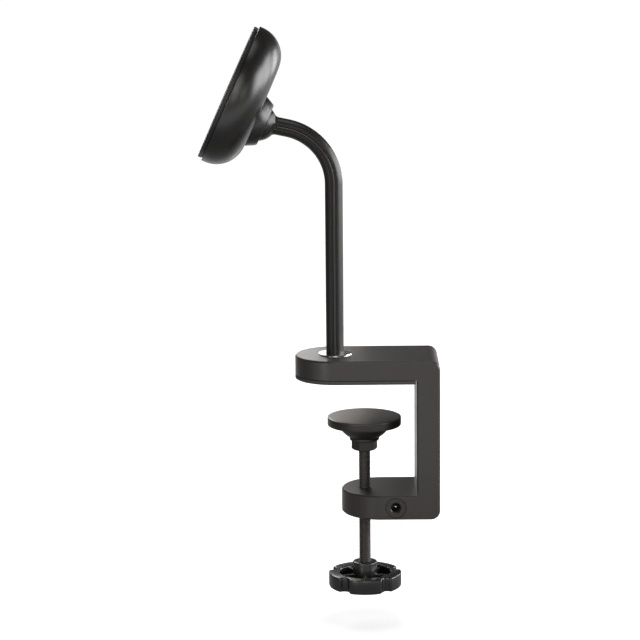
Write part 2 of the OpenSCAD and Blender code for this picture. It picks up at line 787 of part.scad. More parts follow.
// Disc with a bowl below it, bored for the swivel
module pressure_plate() {
    color([0.16, 0.14, 0.13]) difference() {
        union() {
            at_screw(plate_low) cylinder(d = plate_d, h = plate_t);
            intersection() {
                at_screw(plate_low + bowl_rise) sphere(r = bowl_r);
                at_screw(bowl_low) cylinder(r = bowl_r + cut, h = bowl_h + lap);
            }
        }
        at_screw(tip_z) sphere(r = cup_seat);
        at_screw(bowl_low - cut) cylinder(r = spigot_r, h = tip_z - bowl_low + cut);
    }
}

// Slightly crowned cushion on the plate
module plate_cushion() {
    color([0.13, 0.12, 0.11]) union() {
        at_screw(plate_top - cushion_t) cylinder(d = plate_d, h = cushion_t - cushion_crown);
        at_screw(plate_top - cushion_crown)
            cylinder(d1 = plate_d, d2 = plate_d - 2 * crown_w, h = cushion_crown);
    }
}

// Outline of the knob: finger scallops, rounded corners and outer arcs
function turned(points, a) =
    [for (p = points) [p[0] * cos(a) - p[1] * sin(a), p[0] * sin(a) + p[1] * cos(a)]];

function lobe_points() = concat(
    arc([scallop_at, 0], scallop_r, 180 - corner_dir, 180 + corner_dir, 8),
    arc(corner_at * [cos(corner_turn), sin(corner_turn)], lobe_r, corner_dir, corner_turn, 4),
    arc([0, 0], knob_r, corner_turn, lobe_turn - corner_turn, 10),
    arc(corner_at * [cos(lobe_turn - corner_turn), sin(lobe_turn - corner_turn)], lobe_r,
        lobe_turn - corner_turn, lobe_turn - corner_dir, 4));

function knob_outline() = [for (i = [0:lobes - 1]) each turned(lobe_points(), i * lobe_turn)];

module knob() {
    pocket_r = knob_r - band_t;
    pocket_z = knob_low + floor_t;
    color([0.09, 0.09, 0.09]) at_screw(0) rotate(-90 + lobe_turn / 2) difference() {
        union() {
            intersection() {
                translate([0, 0, knob_low]) linear_extrude(rim_h) polygon(knob_outline());
                rotate_extrude() polygon(concat([[0, knob_low]],
                    arc([knob_r - rim_r, knob_low + rim_r], rim_r, -90, 0, 6),
                    arc([knob_r - rim_r, rim_top - rim_r], rim_r, 0, 90, 6), [[0, rim_top]]));
            }
            translate([0, 0, pocket_z - eps]) cylinder(d = hub_d, h = knob_top - pocket_z + eps);
        }
        // Ring of pockets between the ribs
        difference() {
            translate([0, 0, pocket_z]) ring(2 * pocket_r, hub_d, rim_h);
            for (i = [0:lobes - 1]) rotate((i + 0.5) * lobe_turn) translate([0, -rib_t / 2, pocket_z - cut])
                cube([pocket_r + cut, rib_t, rim_h - floor_t - rib_drop + cut]);
        }
        translate([0, 0, rod_low]) cylinder(d = rod_d + 2 * fit_c, h = knob_top - rod_low + cut);
        translate([0, 0, rod_low]) cylinder(d = insert_d + 2 * fit_c, h = insert_l);
    }
}

module knob_insert() {
    color([0.70, 0.56, 0.28]) at_screw(rod_low) ring(insert_d, rod_d + 2 * fit_c, insert_l);
}

upper_frame();
lower_jaw();
jaw_pad();
frame_screws();
foot_collar();
thread_bush();
power_jack();
jack_pin();
jack_contact();
frame_lead();
arm();
arm_cable();
arm_washer();
arm_nut();
ball_seat();
seat_ring();
lock_nut();
head_shell();
front_disc();
magnet_ring();
charging_coil();
ferrite_plate();
coil_carrier();
carrier_screws();
circuit_board();
head_lead();
swivel_cup();
screw_rod();
knob();
knob_insert();
pressure_plate();
plate_cushion();
retaining_nut();
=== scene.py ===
import math

import bmesh
import bpy
from bpy.props import FloatProperty, FloatVectorProperty, IntProperty, PointerProperty
from bpy.types import Operator, Panel, PropertyGroup
from mathutils import Matrix, Vector


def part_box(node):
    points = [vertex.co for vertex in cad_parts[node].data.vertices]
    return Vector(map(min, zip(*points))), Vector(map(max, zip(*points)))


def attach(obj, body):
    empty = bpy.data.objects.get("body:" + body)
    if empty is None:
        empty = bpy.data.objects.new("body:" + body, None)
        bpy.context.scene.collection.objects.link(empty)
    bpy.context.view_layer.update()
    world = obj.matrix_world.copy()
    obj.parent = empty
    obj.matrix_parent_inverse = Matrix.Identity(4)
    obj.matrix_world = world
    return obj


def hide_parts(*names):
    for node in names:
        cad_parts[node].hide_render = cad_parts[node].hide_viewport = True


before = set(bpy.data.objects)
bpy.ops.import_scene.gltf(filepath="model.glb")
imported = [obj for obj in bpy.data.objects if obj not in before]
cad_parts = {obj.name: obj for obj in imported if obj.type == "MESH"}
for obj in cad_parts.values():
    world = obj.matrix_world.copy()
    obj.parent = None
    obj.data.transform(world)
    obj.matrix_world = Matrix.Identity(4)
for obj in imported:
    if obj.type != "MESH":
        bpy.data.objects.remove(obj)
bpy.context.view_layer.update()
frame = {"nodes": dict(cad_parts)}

bl_info = {
    "name": "Clamp phone mount",
    "version": (1, 0, 0),
    "blender": (4, 5, 0),
    "location": "View3D > Sidebar > Phone mount",
    "description": "Builds the visible pieces and finishes of a clamp-on charging phone mount",
    "category": "Object",
}

MM = 0.001

# The mount's main lines, in millimetres
ARM_R = 3.7
FOOT_Z = 6.7
STUD_R, STUD_L = 2.5, 4.4
BEND_Z = 81.6
BEND_R = 24.0
BEND_ANGLE = math.radians(78)
NECK_L = 12.2
NECK_R = 2.2
BALL_R = 7.7
HEAD_R = 30.0
HEAD_TURN = math.radians(24.5 - 90)
FACE_FROM_BALL = Vector((6.2, 0, 17.2))
SCREW_X = 12.1
SOCKET_R = 4.4
SOCKET = Vector((24.9, 0, -52.7))

# Where the bend ends, and where the neck's fillet starts on the ball
BEND_END = Vector((BEND_R * (math.cos(BEND_ANGLE) - 1), 0, BEND_Z + BEND_R * math.sin(BEND_ANGLE)))
NECK_DIR = Vector((-math.sin(BEND_ANGLE), 0, math.cos(BEND_ANGLE)))
BALL = BEND_END + NECK_L * NECK_DIR
FLARE = math.asin((ARM_R + NECK_R) / (BALL_R + NECK_R))
NECK_END = NECK_L - (BALL_R + NECK_R) * math.cos(FLARE)

# Places of the pieces that are modelled round their own axis
AT_BALL = Matrix.Translation(BALL * MM) @ Matrix.Rotation(HEAD_TURN, 4, "Y")
AT_FACE = AT_BALL @ Matrix.Translation(FACE_FROM_BALL * MM)
AT_SCREW = Matrix.Translation(Vector((SCREW_X, 0, 0)) * MM)
AT_SOCKET = Matrix.Translation(SOCKET * MM)


def box_mm(name):
    """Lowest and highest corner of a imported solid, in millimetres."""
    low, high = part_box(name)
    return low / MM, high / MM


# ---- Sizes, colours and studio values that a user would change ----

def length(name, note, value, low=0.0, high=0.1):
    return FloatProperty(name=name, description=note, default=value, min=low, max=high, unit="LENGTH",
                         subtype="DISTANCE", precision=5)


def colour(name, note, value):
    return FloatVectorProperty(name=name, description=note, default=value, size=3, min=0, max=1, subtype="COLOR")


def level(name, note, value):
    return FloatProperty(name=name, description=note, default=value, min=0, max=100)


class MountSizes(PropertyGroup):
    thread_pitch: length("Thread pitch", "Distance between two turns of the clamp screw's thread", 0.8 * MM)
    thread_depth: length("Thread depth", "Height of the thread's ridge above its root", 0.3 * MM)
    knob_top_edge: length("Knob top edge", "Rounding of the knob's upper edge", 0.55 * MM)
    knob_low_edge: length("Knob lower edge", "Rounding of the knob's lower edge", 0.9 * MM)
    groove_width: length("Groove width", "Width of the cable groove in the arm", 2.8 * MM)
    groove_depth: length("Groove depth", "Depth of the cable groove in the arm", 1.6 * MM)
    pad_edge: length("Pad edge", "Rounding of the jaw pad's edges", 0.3 * MM)
    plate_edge: length("Plate edge", "Rounding of the pressure plate's rim", 0.5 * MM)
    hex_chamfer: length("Hexagon chamfer", "Height of the chamfer on the hexagon's corners", 0.5 * MM)
    disc_ring: length("Disc ring", "Depth of the fine ring in the charging face", 0.12 * MM)
    turning_steps: IntProperty(name="Turning steps", description="Segments round each turned piece",
                               default=128, min=24, max=256)


class MountColours(PropertyGroup):
    frame: colour("Frame", "Satin coat of the upper frame", (0.036, 0.0312, 0.0292))
    lower: colour("Lower jaw", "Satin coat of the lower jaw", (0.039, 0.0342, 0.0323))
    arm: colour("Arm", "Satin coat of the arm", (0.012, 0.0108, 0.0102))
    nut: colour("Lock nut", "Coat of the lock nut", (0.008, 0.0072, 0.0066))
    shell: colour("Rear shell", "Polished shell of the charging head", (0.0065, 0.0056, 0.0050))
    disc: colour("Front disc", "Soft-touch face of the charging head", (0.014, 0.013, 0.0128))
    pad: colour("Jaw pad", "Rubber of the jaw pad", (0.062, 0.056, 0.053))
    cushion: colour("Plate cushion", "Rubber of the pressure plate's cushion", (0.050, 0.040, 0.034))
    plate: colour("Pressure plate", "Moulding of the pressure plate", (0.018, 0.016, 0.0148))
    knob: colour("Knob", "Moulding of the knob", (0.011, 0.010, 0.0096))
    screw: colour("Clamp screw", "Dark rolled steel of the clamp screw", (0.07, 0.063, 0.059))
    socket: colour("Power socket", "Moulding of the power socket", (0.032, 0.0288, 0.0275))
    strand: colour("Strand", "Jacket of the strand in the arm's groove", (0.020, 0.019, 0.018))


class MountStudio(PropertyGroup):
    lens: FloatProperty(name="Lens", description="Focal length of the camera, in millimetres", default=146.12,
                        min=20, max=400)
    roll: FloatProperty(name="Roll", description="Turn of the camera about its own line of sight",
                        default=math.radians(-0.5), unit="ROTATION", subtype="ANGLE")
    floor_drop: length("Floor drop", "Distance from the knob's underside to the floor", 15.0 * MM)
    near_floor: level("Near floor", "Own brightness of the floor below the knob, which keeps the shadow", 0.60)
    fill: level("Surroundings", "Strength of the even light from all sides", 0.05)
    mirrored: level("Mirrored white", "Share of the white backdrop in reflections", 0.9)
    right: level("Right softbox", "Brightness of the softbox on the right, towards the camera", 8.5)
    side: level("Side softbox", "Brightness of the softbox straight on the right", 6.5)
    rear: level("Rear softbox", "Brightness of the softbox behind on the right", 6.0)
    left: level("Left softbox", "Brightness of the narrow softbox in front on the left", 13.0)
    low: level("Low softbox", "Brightness of the softbox in front on the right", 1.5)
    warm: level("Warm softbox", "Brightness of the warm softbox round the camera", 2.2)
    front: level("Front softbox", "Brightness of the softbox above the camera", 2.4)
    top: level("Top softbox", "Brightness of the softbox overhead", 1.4)
    back: level("Back softbox", "Brightness of the small softbox behind, which casts the arm's shadow", 9.0)
    card: level("White cards", "Brightness of the small cards just behind the mount", 2.0)


# ---- Modelling helpers ----

def clear_selection():
    if bpy.context.object and bpy.context.object.mode != "OBJECT":
        bpy.ops.object.mode_set(mode="OBJECT")
    bpy.ops.object.select_all(action="DESELECT")


def only(obj):
    """Leaves obj alone selected and active, in object mode."""
    clear_selection()
    obj.select_set(True)
    bpy.context.view_layer.objects.active = obj


def edit(obj, kind="FACE"):
    """Opens obj in edit mode, with all of it selected."""
    only(obj)
    bpy.ops.object.mode_set(mode="EDIT")
    bpy.ops.mesh.select_mode(type=kind)
    bpy.ops.mesh.select_all(action="SELECT")


def extrude(x=0.0, y=0.0, z=0.0):
    """Extrudes what is selected by a move in millimetres."""
    bpy.ops.mesh.extrude_region_move(TRANSFORM_OT_translate={"value": (x * MM, y * MM, z * MM)})


def close_edit():
    """Turns every face outwards and leaves edit mode."""
    bpy.ops.mesh.select_all(action="SELECT")
    bpy.ops.mesh.normals_make_consistent(inside=False)
    bpy.ops.object.mode_set(mode="OBJECT")


def merge_doubles(threshold=1e-7):
    bpy.ops.mesh.select_all(action="SELECT")
    bpy.ops.mesh.remove_doubles(threshold=threshold)
    bpy.ops.mesh.select_all(action="SELECT")


def pick(obj, faces=None, edges=None):
    """Selects, in edit mode, the faces or edges that pass a test on their middle point in millimetres."""
    mesh = bmesh.from_edit_mesh(obj.data)
    place = obj.matrix_world
    bpy.ops.mesh.select_all(action="DESELECT")
    if faces:
        for face in mesh.faces:
            face.select_set(bool(faces(place @ face.calc_center_median() / MM, face)))
    if edges:
        for edge in mesh.edges:
            middle = place @ ((edge.verts[0].co + edge.verts[1].co) / 2) / MM
            edge.select_set(bool(edges(middle, edge)))
    bmesh.update_edit_mesh(obj.data)


def arc(centre, radius, start, end, steps):
    """Points of an arc in the (radius, height) plane, with both ends, in degrees."""
    turn = [math.radians(start + (end - start) * i / steps) for i in range(steps + 1)]
    return [(centre[0] + radius * math.cos(t), centre[1] + radius * math.sin(t)) for t in turn]


def turned(outline, closed=False, steps=None):
    """Draws a half section point by point, in millimetres, and spins it round the Z axis."""
    steps = steps or bpy.context.scene.mount_sizes.turning_steps
    points = list(outline) + ([outline[0]] if closed else [])
    clear_selection()
    bpy.ops.mesh.primitive_plane_add(size=MM, location=(points[0][0] * MM, 0, points[0][1] * MM))
    obj = bpy.context.object
    edit(obj, "VERT")
    bpy.ops.mesh.merge(type="CENTER")
    for (r0, z0), (r1, z1) in zip(points, points[1:]):
        bpy.ops.mesh.extrude_vertices_move(
            TRANSFORM_OT_translate={"value": ((r1 - r0) * MM, 0, (z1 - z0) * MM)})
    merge_doubles()
    bpy.ops.mesh.spin(steps=steps, angle=2 * math.pi, center=(0, 0, 0), axis=(0, 0, 1))
    merge_doubles(threshold=2e-6)
    close_edit()
    return obj


def place(obj, matrix=None):
    """Moves obj by a matrix, where one is given, and writes its place into its mesh."""
    if matrix is not None:
        obj.matrix_world = matrix @ obj.matrix_world
    only(obj)
    bpy.ops.object.transform_apply(location=True, rotation=True, scale=True)
    return obj


def carve(obj, tool, operation="DIFFERENCE"):
    """Cuts obj with a tool, or joins or crosses them, and removes the tool."""
    only(obj)
    step = obj.modifiers.new("cut", "BOOLEAN")
    step.operation = operation
    step.solver = "EXACT"
    step.object = tool
    bpy.ops.object.modifier_apply(modifier=step.name)
    bpy.data.objects.remove(tool)
    return obj


def joined(obj, *others):
    """Makes one object of several."""
    only(obj)
    for other in others:
        other.select_set(True)
    bpy.ops.object.join()
    return obj


def finished(obj, name, body, material, replaces, smooth=32):
    """Names a piece, shades it smooth up to an angle in degrees and hangs it on its body."""
    obj.name = name
    obj.data.name = name
    place(obj)
    bpy.ops.object.shade_smooth_by_angle(angle=math.radians(smooth))
    obj.data.materials.clear()
    obj.data.materials.append(bpy.data.materials[material])
    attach(obj, body)
    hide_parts(replaces)


# ---- Shared shader effects ----

def node(tree, kind, **values):
    made = tree.nodes.new(kind)
    for key, value in values.items():
        setattr(made, key, value)
    return made


def feed(tree, socket, value):
    """Links an output to a socket, or sets the socket to a plain value."""
    if isinstance(value, bpy.types.NodeSocket):
        tree.links.new(value, socket)
    elif socket.type == "RGBA" and len(value) == 3:
        socket.default_value = (*value, 1)
    else:
        socket.default_value = value


def fed(tree, kind, inputs, **values):
    """A node of a kind, with its inputs fed by their names."""
    made = node(tree, kind, **values)
    for key, value in inputs.items():
        feed(tree, made.inputs[key], value)
    return made


def math_node(tree, operation, *values, clamp=False):
    made = fed(tree, "ShaderNodeMath", dict(enumerate(values)), operation=operation, use_clamp=clamp)
    return made.outputs[0]


def span(tree, value, low, high, to_low=0.0, to_high=1.0):
    """Maps the range from low to high to the one from to_low to to_high, and holds it at both ends."""
    made = fed(tree, "ShaderNodeMapRange", {"Value": value, "From Min": low, "From Max": high,
                                            "To Min": to_low, "To Max": to_high})
    return made.outputs["Result"]


def noise(tree, vector, scale, detail=3.0, rough=0.55):
    made = fed(tree, "ShaderNodeTexNoise", {"Vector": vector, "Scale": scale, "Detail": detail, "Roughness": rough})
    return made.outputs["Fac"]


def blend(tree, amount, a, b):
    """Mixes two colours, from a at 0 to b at 1."""
    made = fed(tree, "ShaderNodeMix", {"Factor": amount, 6: a, 7: b}, data_type="RGBA")
    return made.outputs[2]


def reach(tree, vector, factors):
    """Length of a vector whose parts are first multiplied: with (1, 1, 0), its distance from the Z axis."""
    flat = fed(tree, "ShaderNodeVectorMath", {0: vector, 1: factors}, operation="MULTIPLY")
    return fed(tree, "ShaderNodeVectorMath", {0: flat.outputs[0]}, operation="LENGTH").outputs["Value"]


def bump(tree, height, distance, strength=1.0, normal=None):
    inputs = {"Height": height, "Distance": distance, "Strength": strength}
    if normal:
        inputs["Normal"] = normal
    return fed(tree, "ShaderNodeBump", inputs).outputs["Normal"]


def new_group(name, inputs, outputs):
    """Starts a node group with named sockets: (name, type, default) for inputs, (name, type) for outputs."""
    tree = bpy.data.node_groups.new(name, "ShaderNodeTree")
    for label, kind, value in inputs:
        socket = tree.interface.new_socket(name=label, in_out="INPUT", socket_type="NodeSocket" + kind)
        if value is not None:
            socket.default_value = value
    for label, kind in outputs:
        tree.interface.new_socket(name=label, in_out="OUTPUT", socket_type="NodeSocket" + kind)
    return tree, tree.nodes.new("NodeGroupInput").outputs, tree.nodes.new("NodeGroupOutput").inputs


def build_surface_coat():
    """Paint, moulding or metal skin: fine grain, slow tone drift, worn edges and rounded corners; where the edge
    colour is darker than the face, the edge blend paints shade instead of wear.
    """
    tree, given, out = new_group(
        "surface_coat",
        [("Vector", "Vector", None), ("Colour", "Color", (0.1, 0.1, 0.1, 1)),
         ("Edge colour", "Color", (0.2, 0.2, 0.2, 1)), ("Tone drift", "Float", 0.12), ("Drift size", "Float", 0.02),
         ("Grain size", "Float", 0.0003), ("Grain relief", "Float", 0.15), ("Roughness", "Float", 0.4),
         ("Roughness spread", "Float", 0.08), ("Edge radius", "Float", 0.0002), ("Edge wear", "Float", 0.3)],
        [("Colour", "Color"), ("Roughness", "Float"), ("Normal", "Vector")])
    where = given["Vector"]
    drift = noise(tree, where, math_node(tree, "DIVIDE", 1.0, given["Drift size"]), 4.0, 0.6)
    grain = noise(tree, where, math_node(tree, "DIVIDE", 1.0, given["Grain size"]), 2.0, 0.6)
    # Rounded corners, and a mask where the rounding turns the surface
    soft = fed(tree, "ShaderNodeBevel", {"Radius": given["Edge radius"]}, samples=6).outputs["Normal"]
    flat = node(tree, "ShaderNodeNewGeometry").outputs["Normal"]
    facing = fed(tree, "ShaderNodeVectorMath", {0: soft, 1: flat}, operation="DOT_PRODUCT").outputs["Value"]
    broken = span(tree, noise(tree, where, 900.0, 4.0, 0.65), 0.38, 0.62)
    turn = math_node(tree, "MULTIPLY", span(tree, facing, 0.995, 0.86), given["Edge wear"])
    wear_and_shade_mask = math_node(tree, "MULTIPLY", turn, broken)
    # Colour: slow drift up and down, finest grain, then wear on the edges, which is painted shade where the edge
    # colour is darker
    gain = math_node(tree, "MULTIPLY_ADD", math_node(tree, "SUBTRACT", drift, 0.5), given["Tone drift"], 1.0)
    speck = span(tree, grain, 0.25, 0.75, 0.94, 1.06)
    tone = fed(tree, "ShaderNodeVectorMath", {0: given["Colour"], "Scale": math_node(tree, "MULTIPLY", gain, speck)},
               operation="SCALE")
    feed(tree, out["Colour"], blend(tree, wear_and_shade_mask, tone.outputs[0], given["Edge colour"]))
    # Roughness follows the drift and the grain
    uneven = math_node(tree, "SUBTRACT", math_node(tree, "ADD", drift, grain), 1.0)
    rough = math_node(tree, "MULTIPLY_ADD", uneven, given["Roughness spread"], given["Roughness"])
    polished = math_node(tree, "MULTIPLY", wear_and_shade_mask, 0.06)
    feed(tree, out["Roughness"], math_node(tree, "SUBTRACT", rough, polished, clamp=True))
    feed(tree, out["Normal"], bump(tree, grain, 0.00004, given["Grain relief"], soft))


def build_hairlines():
    """Mask of fine scuffs or brushing: long thin marks along one direction."""
    tree, given, out = new_group(
        "hairlines",
        [("Vector", "Vector", None), ("Stretch", "Vector", (1, 1, 0.03)), ("Size", "Float", 0.0002),
         ("Amount", "Float", 0.5)],
        [("Mask", "Float")])
    scaled = fed(tree, "ShaderNodeVectorMath", {0: given["Vector"], 1: given["Stretch"]}, operation="MULTIPLY")
    lines = noise(tree, scaled.outputs[0], math_node(tree, "DIVIDE", 1.0, given["Size"]), 3.0, 0.7)
    feed(tree, out["Mask"], math_node(tree, "MULTIPLY", span(tree, lines, 0.5, 0.8), given["Amount"]))


def build_ring_lines():
    """Rings round an axis along Z, as left by a lathe or wound wire: a height and a mask."""
    tree, given, out = new_group(
        "ring_lines",
        [("Vector", "Vector", None), ("Pitch", "Float", 0.0004), ("Wander", "Float", 0.15)],
        [("Height", "Float"), ("Mask", "Float")])
    away = reach(tree, given["Vector"], (1, 1, 0))
    shift = math_node(tree, "MULTIPLY", noise(tree, given["Vector"], 400.0, 2.0), given["Wander"])
    turns = math_node(tree, "ADD", math_node(tree, "DIVIDE", away, given["Pitch"]), shift)
    wave = math_node(tree, "SINE", math_node(tree, "MULTIPLY", turns, 2 * math.pi))
    height = span(tree, wave, -1.0, 1.0)
    feed(tree, out["Height"], height)
    feed(tree, out["Mask"], span(tree, height, 0.0, 0.25, 1.0, 0.0))


def build_painted_joint_shade():
    """Mask of the painted shade in the last fraction of a millimetre before two pieces meet, by distance from an axis
    or a plane.
    """
    tree, given, out = new_group(
        "joint_line",
        [("Vector", "Vector", None), ("Factors", "Vector", (1, 1, 0)), ("Start", "Float", 0.001),
         ("End", "Float", 0.0012)],
        [("Mask", "Float")])
    near = span(tree, reach(tree, given["Vector"], given["Factors"]), given["Start"], given["End"])
    feed(tree, out["Mask"], math_node(tree, "MULTIPLY", near, 0.9))


def use_group(tree, name, vector, **values):
    """Places a shared effect in a material; Grain size is given as grain_size, and so on."""
    inputs = {key.replace("_", " ").capitalize(): value for key, value in values.items()}
    return fed(tree, "ShaderNodeGroup", {"Vector": vector, **inputs}, node_tree=bpy.data.node_groups[name]).outputs


def lighter(colour, factor, lift=0.0):
    return tuple(min(1.0, c * factor + lift) for c in colour)


def coordinates(tree, matrix=None):
    """Object coordinates, or the same seen from a piece's own place."""
    given = node(tree, "ShaderNodeTexCoord").outputs["Object"]
    if matrix is None:
        return given
    turn = fed(tree, "ShaderNodeMapping", {"Vector": given}, vector_type="TEXTURE")
    turn.inputs["Location"].default_value = matrix.to_translation()
    turn.inputs["Rotation"].default_value = matrix.to_euler()
    return turn.outputs["Vector"]


def start_material(name, matrix, coat, **shader):
    """A material whose Principled shader has its constants, with its coordinates and the shared coat."""
    material = bpy.data.materials.new(name)
    if material.name != name:
        raise RuntimeError(f"a material named {name} is there already")
    material.use_nodes = True
    tree = material.node_tree
    principled = tree.nodes["Principled BSDF"]
    for key, value in shader.items():
        principled.inputs[key.replace("_", " ").title().replace("Ior", "IOR")].default_value = value
    where = coordinates(tree, matrix)
    return tree, where, use_group(tree, "surface_coat", where, **coat)


def end_material(tree, colour, rough, normal):
    """Wires what changes over the surface to the Principled shader."""
    principled = tree.nodes["Principled BSDF"]
    for key, value in (("Base Color", colour), ("Roughness", rough), ("Normal", normal)):
        feed(tree, principled.inputs[key], value)


def coat_material(name, colour, edge, drift=0.12, drift_size=0.02, grain=0.0003, relief=0.15, rough=0.4,
                  spread=0.08, radius=0.0002, wear=0.3, scuffs=0.0, stretch=(1, 1, 0.03), matrix=None, joint=None,
                  **shader):
    """Any plain skin: the shared coat, with faint scuffs that dull and lighten it and a line of painted shade where
    it meets the next piece.
    joint is (matrix, factors, start, end): where the distance from its axis or plane passes from start to end."""
    tree, where, coat = start_material(
        name, matrix,
        dict(colour=colour, edge_colour=edge, tone_drift=drift, drift_size=drift_size, grain_size=grain,
             grain_relief=relief, roughness=rough, roughness_spread=spread, edge_radius=radius, edge_wear=wear),
        **shader)
    colour_out, rough_out = coat["Colour"], coat["Roughness"]
    if scuffs:
        marks = use_group(tree, "hairlines", where, stretch=stretch, size=0.00025, amount=scuffs)["Mask"]
        rough_out = math_node(tree, "ADD", rough_out, math_node(tree, "MULTIPLY", marks, 0.25), clamp=True)
        colour_out = blend(tree, marks, colour_out, lighter(colour, 1.35, 0.002))
    if joint:
        matrix, factors, start, end = joint
        # Painted shade: a thin dark line where this piece meets the next one
        line = use_group(tree, "joint_line", coordinates(tree, matrix), factors=factors, start=start, end=end)
        colour_out = blend(tree, line["Mask"], colour_out, PAINTED_JOINT_SHADE)
    end_material(tree, colour_out, rough_out, coat["Normal"])


# Colour of the painted shade where two pieces meet
PAINTED_JOINT_SHADE = (0.004, 0.0035, 0.0033)

# Finishes that need the shared coat alone. First the colour and the worn edge: a user's colour by name, whose
# edge is that colour times a factor plus a lift, or two fixed colours. Then what coat_material takes.
PAINT = dict(drift=0.16, drift_size=0.018, grain=0.00022, relief=0.28, radius=0.00022, scuffs=0.25,
             stretch=(1, 1, 0.04))
PLAIN_FINISHES = {
    "frame_satin": ("frame", (1.9, 0.02), dict(PAINT, rough=0.30, specular_ior_level=0.55)),
    "lower_satin": ("lower", (1.9, 0.02), dict(PAINT, rough=0.32, specular_ior_level=0.5)),
    "arm_satin": ("arm", (2.2, 0.02), dict(
        drift=0.14, drift_size=0.012, grain=0.00018, relief=0.22, rough=0.32, radius=0.00022, wear=0.6, scuffs=0.3,
        specular_ior_level=0.45)),
    "nut_satin": ("nut", (2.2, 0.012), dict(
        drift=0.14, drift_size=0.006, grain=0.00016, relief=0.2, rough=0.32, spread=0.09, wear=0.6, matrix=AT_BALL,
        specular_ior_level=0.6)),
    "shell_polish": ("shell", (1.8, 0.004), dict(
        drift=0.2, drift_size=0.025, grain=0.0011, relief=0.05, rough=0.30, spread=0.06, radius=0.00018, wear=0.2,
        scuffs=0.12, stretch=(1, 0.05, 1), matrix=AT_FACE, specular_ior_level=0.65)),
    "rubber_pad": ("pad", (1.4, 0.01), dict(
        drift=0.1, drift_size=0.008, grain=0.00012, relief=0.5, rough=0.62, spread=0.12, wear=0.25,
        # Painted shade along the top of the pad, where it meets the jaw
        joint=(None, (0, 0, 1), 0.00138, 0.0015), specular_ior_level=0.35)),
    "plate_moulding": ("plate", (1.7, 0.02), dict(
        drift_size=0.008, grain=0.0002, relief=0.25, rough=0.42, spread=0.1, specular_ior_level=0.5)),
    "knob_moulding": ("knob", (1.9, 0.02), dict(
        drift=0.16, drift_size=0.009, grain=0.00028, relief=0.16, rough=0.24, wear=0.35, scuffs=0.3,
        stretch=(1, 1, 0.08), specular_ior_level=0.8)),
    "socket_moulding": ("socket", (2.4, 0.03), dict(
        drift=0.1, drift_size=0.003, grain=0.00014, relief=0.2, rough=0.36, radius=0.00015, wear=0.2,
        # Painted shade round the rim of the socket, in its gap in the jaw
        joint=(AT_SOCKET, (1, 0, 1), (SOCKET_R - 0.42) * MM, (SOCKET_R - 0.34) * MM), specular_ior_level=0.5)),
    "strand_jacket": ("strand", (1.6, 0.01), dict(
        drift=0.2, drift_size=0.004, grain=0.00016, relief=0.2, rough=0.3, spread=0.1, radius=0.0001, wear=0.1,
        specular_ior_level=0.55)),
    "black_oxide": ((0.03, 0.03, 0.032), (0.16, 0.155, 0.15), dict(
        grain=0.00025, relief=0.3, rough=0.38, spread=0.14, wear=0.7, metallic=0.7)),
    "plated_steel": ((0.52, 0.52, 0.53), (0.62, 0.62, 0.62), dict(
        grain=0.0002, relief=0.2, rough=0.3, spread=0.12, wear=0.4, scuffs=0.4, metallic=1.0)),
    "contact_nickel": ((0.68, 0.66, 0.6), (0.78, 0.76, 0.7), dict(
        grain=0.0002, relief=0.1, rough=0.2, spread=0.1, radius=0.0001, metallic=1.0)),
    "turned_brass": ((0.62, 0.44, 0.17), (0.74, 0.56, 0.26), dict(
        grain=0.0002, relief=0.2, rough=0.28, spread=0.1, wear=0.4, metallic=1.0)),
    "natural_acetal": ((0.72, 0.71, 0.67), (0.8, 0.79, 0.75), dict(
        grain=0.0002, wear=0.2, subsurface_weight=0.1, subsurface_scale=0.001)),
    "black_lead": ((0.018, 0.018, 0.018), (0.03, 0.03, 0.03), dict(
        grain=0.0002, relief=0.3, rough=0.42, spread=0.1, wear=0.2)),
    "red_wire": ((0.36, 0.03, 0.025), (0.45, 0.06, 0.05), dict(
        grain=0.00015, relief=0.2, rough=0.35, spread=0.1, wear=0.2)),
    "magnet_nickel": ((0.6, 0.6, 0.62), (0.74, 0.74, 0.75), dict(
        rough=0.24, spread=0.12, wear=0.5, scuffs=0.3, stretch=(1, 1, 1), matrix=AT_FACE, metallic=1.0)),
    "sintered_ferrite": ((0.09, 0.09, 0.1), (0.14, 0.14, 0.15), dict(
        grain=0.00012, relief=0.5, rough=0.6, spread=0.12, matrix=AT_FACE)),
    "carrier_moulding": ((0.08, 0.08, 0.082), (0.12, 0.12, 0.12), dict(
        relief=0.3, rough=0.5, spread=0.1, matrix=AT_FACE)),
}


def build_materials():
    """Every shared effect, then every finish of the mount."""
    build_surface_coat()
    build_hairlines()
    build_ring_lines()
    build_painted_joint_shade()
    tint = bpy.context.scene.mount_colours
    for name, (colour, edge, settings) in PLAIN_FINISHES.items():
        if isinstance(colour, str):
            colour = getattr(tint, colour)
            edge = lighter(colour, *edge)
        coat_material(name, colour, edge, **settings)
    collar_material()
    thread_material(tint.screw)
    cushion_material(tint.cushion)
    disc_material(tint.disc)
    coil_material()
    board_material()


def collar_material():
    """Polished flange with the fine rings that the lathe left."""
    tree, where, coat = start_material(
        "collar_polish", None,
        dict(colour=(0.66, 0.645, 0.63), edge_colour=(0.8, 0.79, 0.77), grain_size=0.0002, grain_relief=0.05,
             roughness=0.13, roughness_spread=0.06, edge_radius=0.00012, edge_wear=0.3), metallic=1.0)
    rings = use_group(tree, "ring_lines", where, pitch=0.00016, wander=0.3)
    rough = math_node(tree, "ADD", coat["Roughness"], math_node(tree, "MULTIPLY", rings["Mask"], 0.05))
    end_material(tree, coat["Colour"], rough, bump(tree, rings["Height"], 0.00001, 0.12, coat["Normal"]))


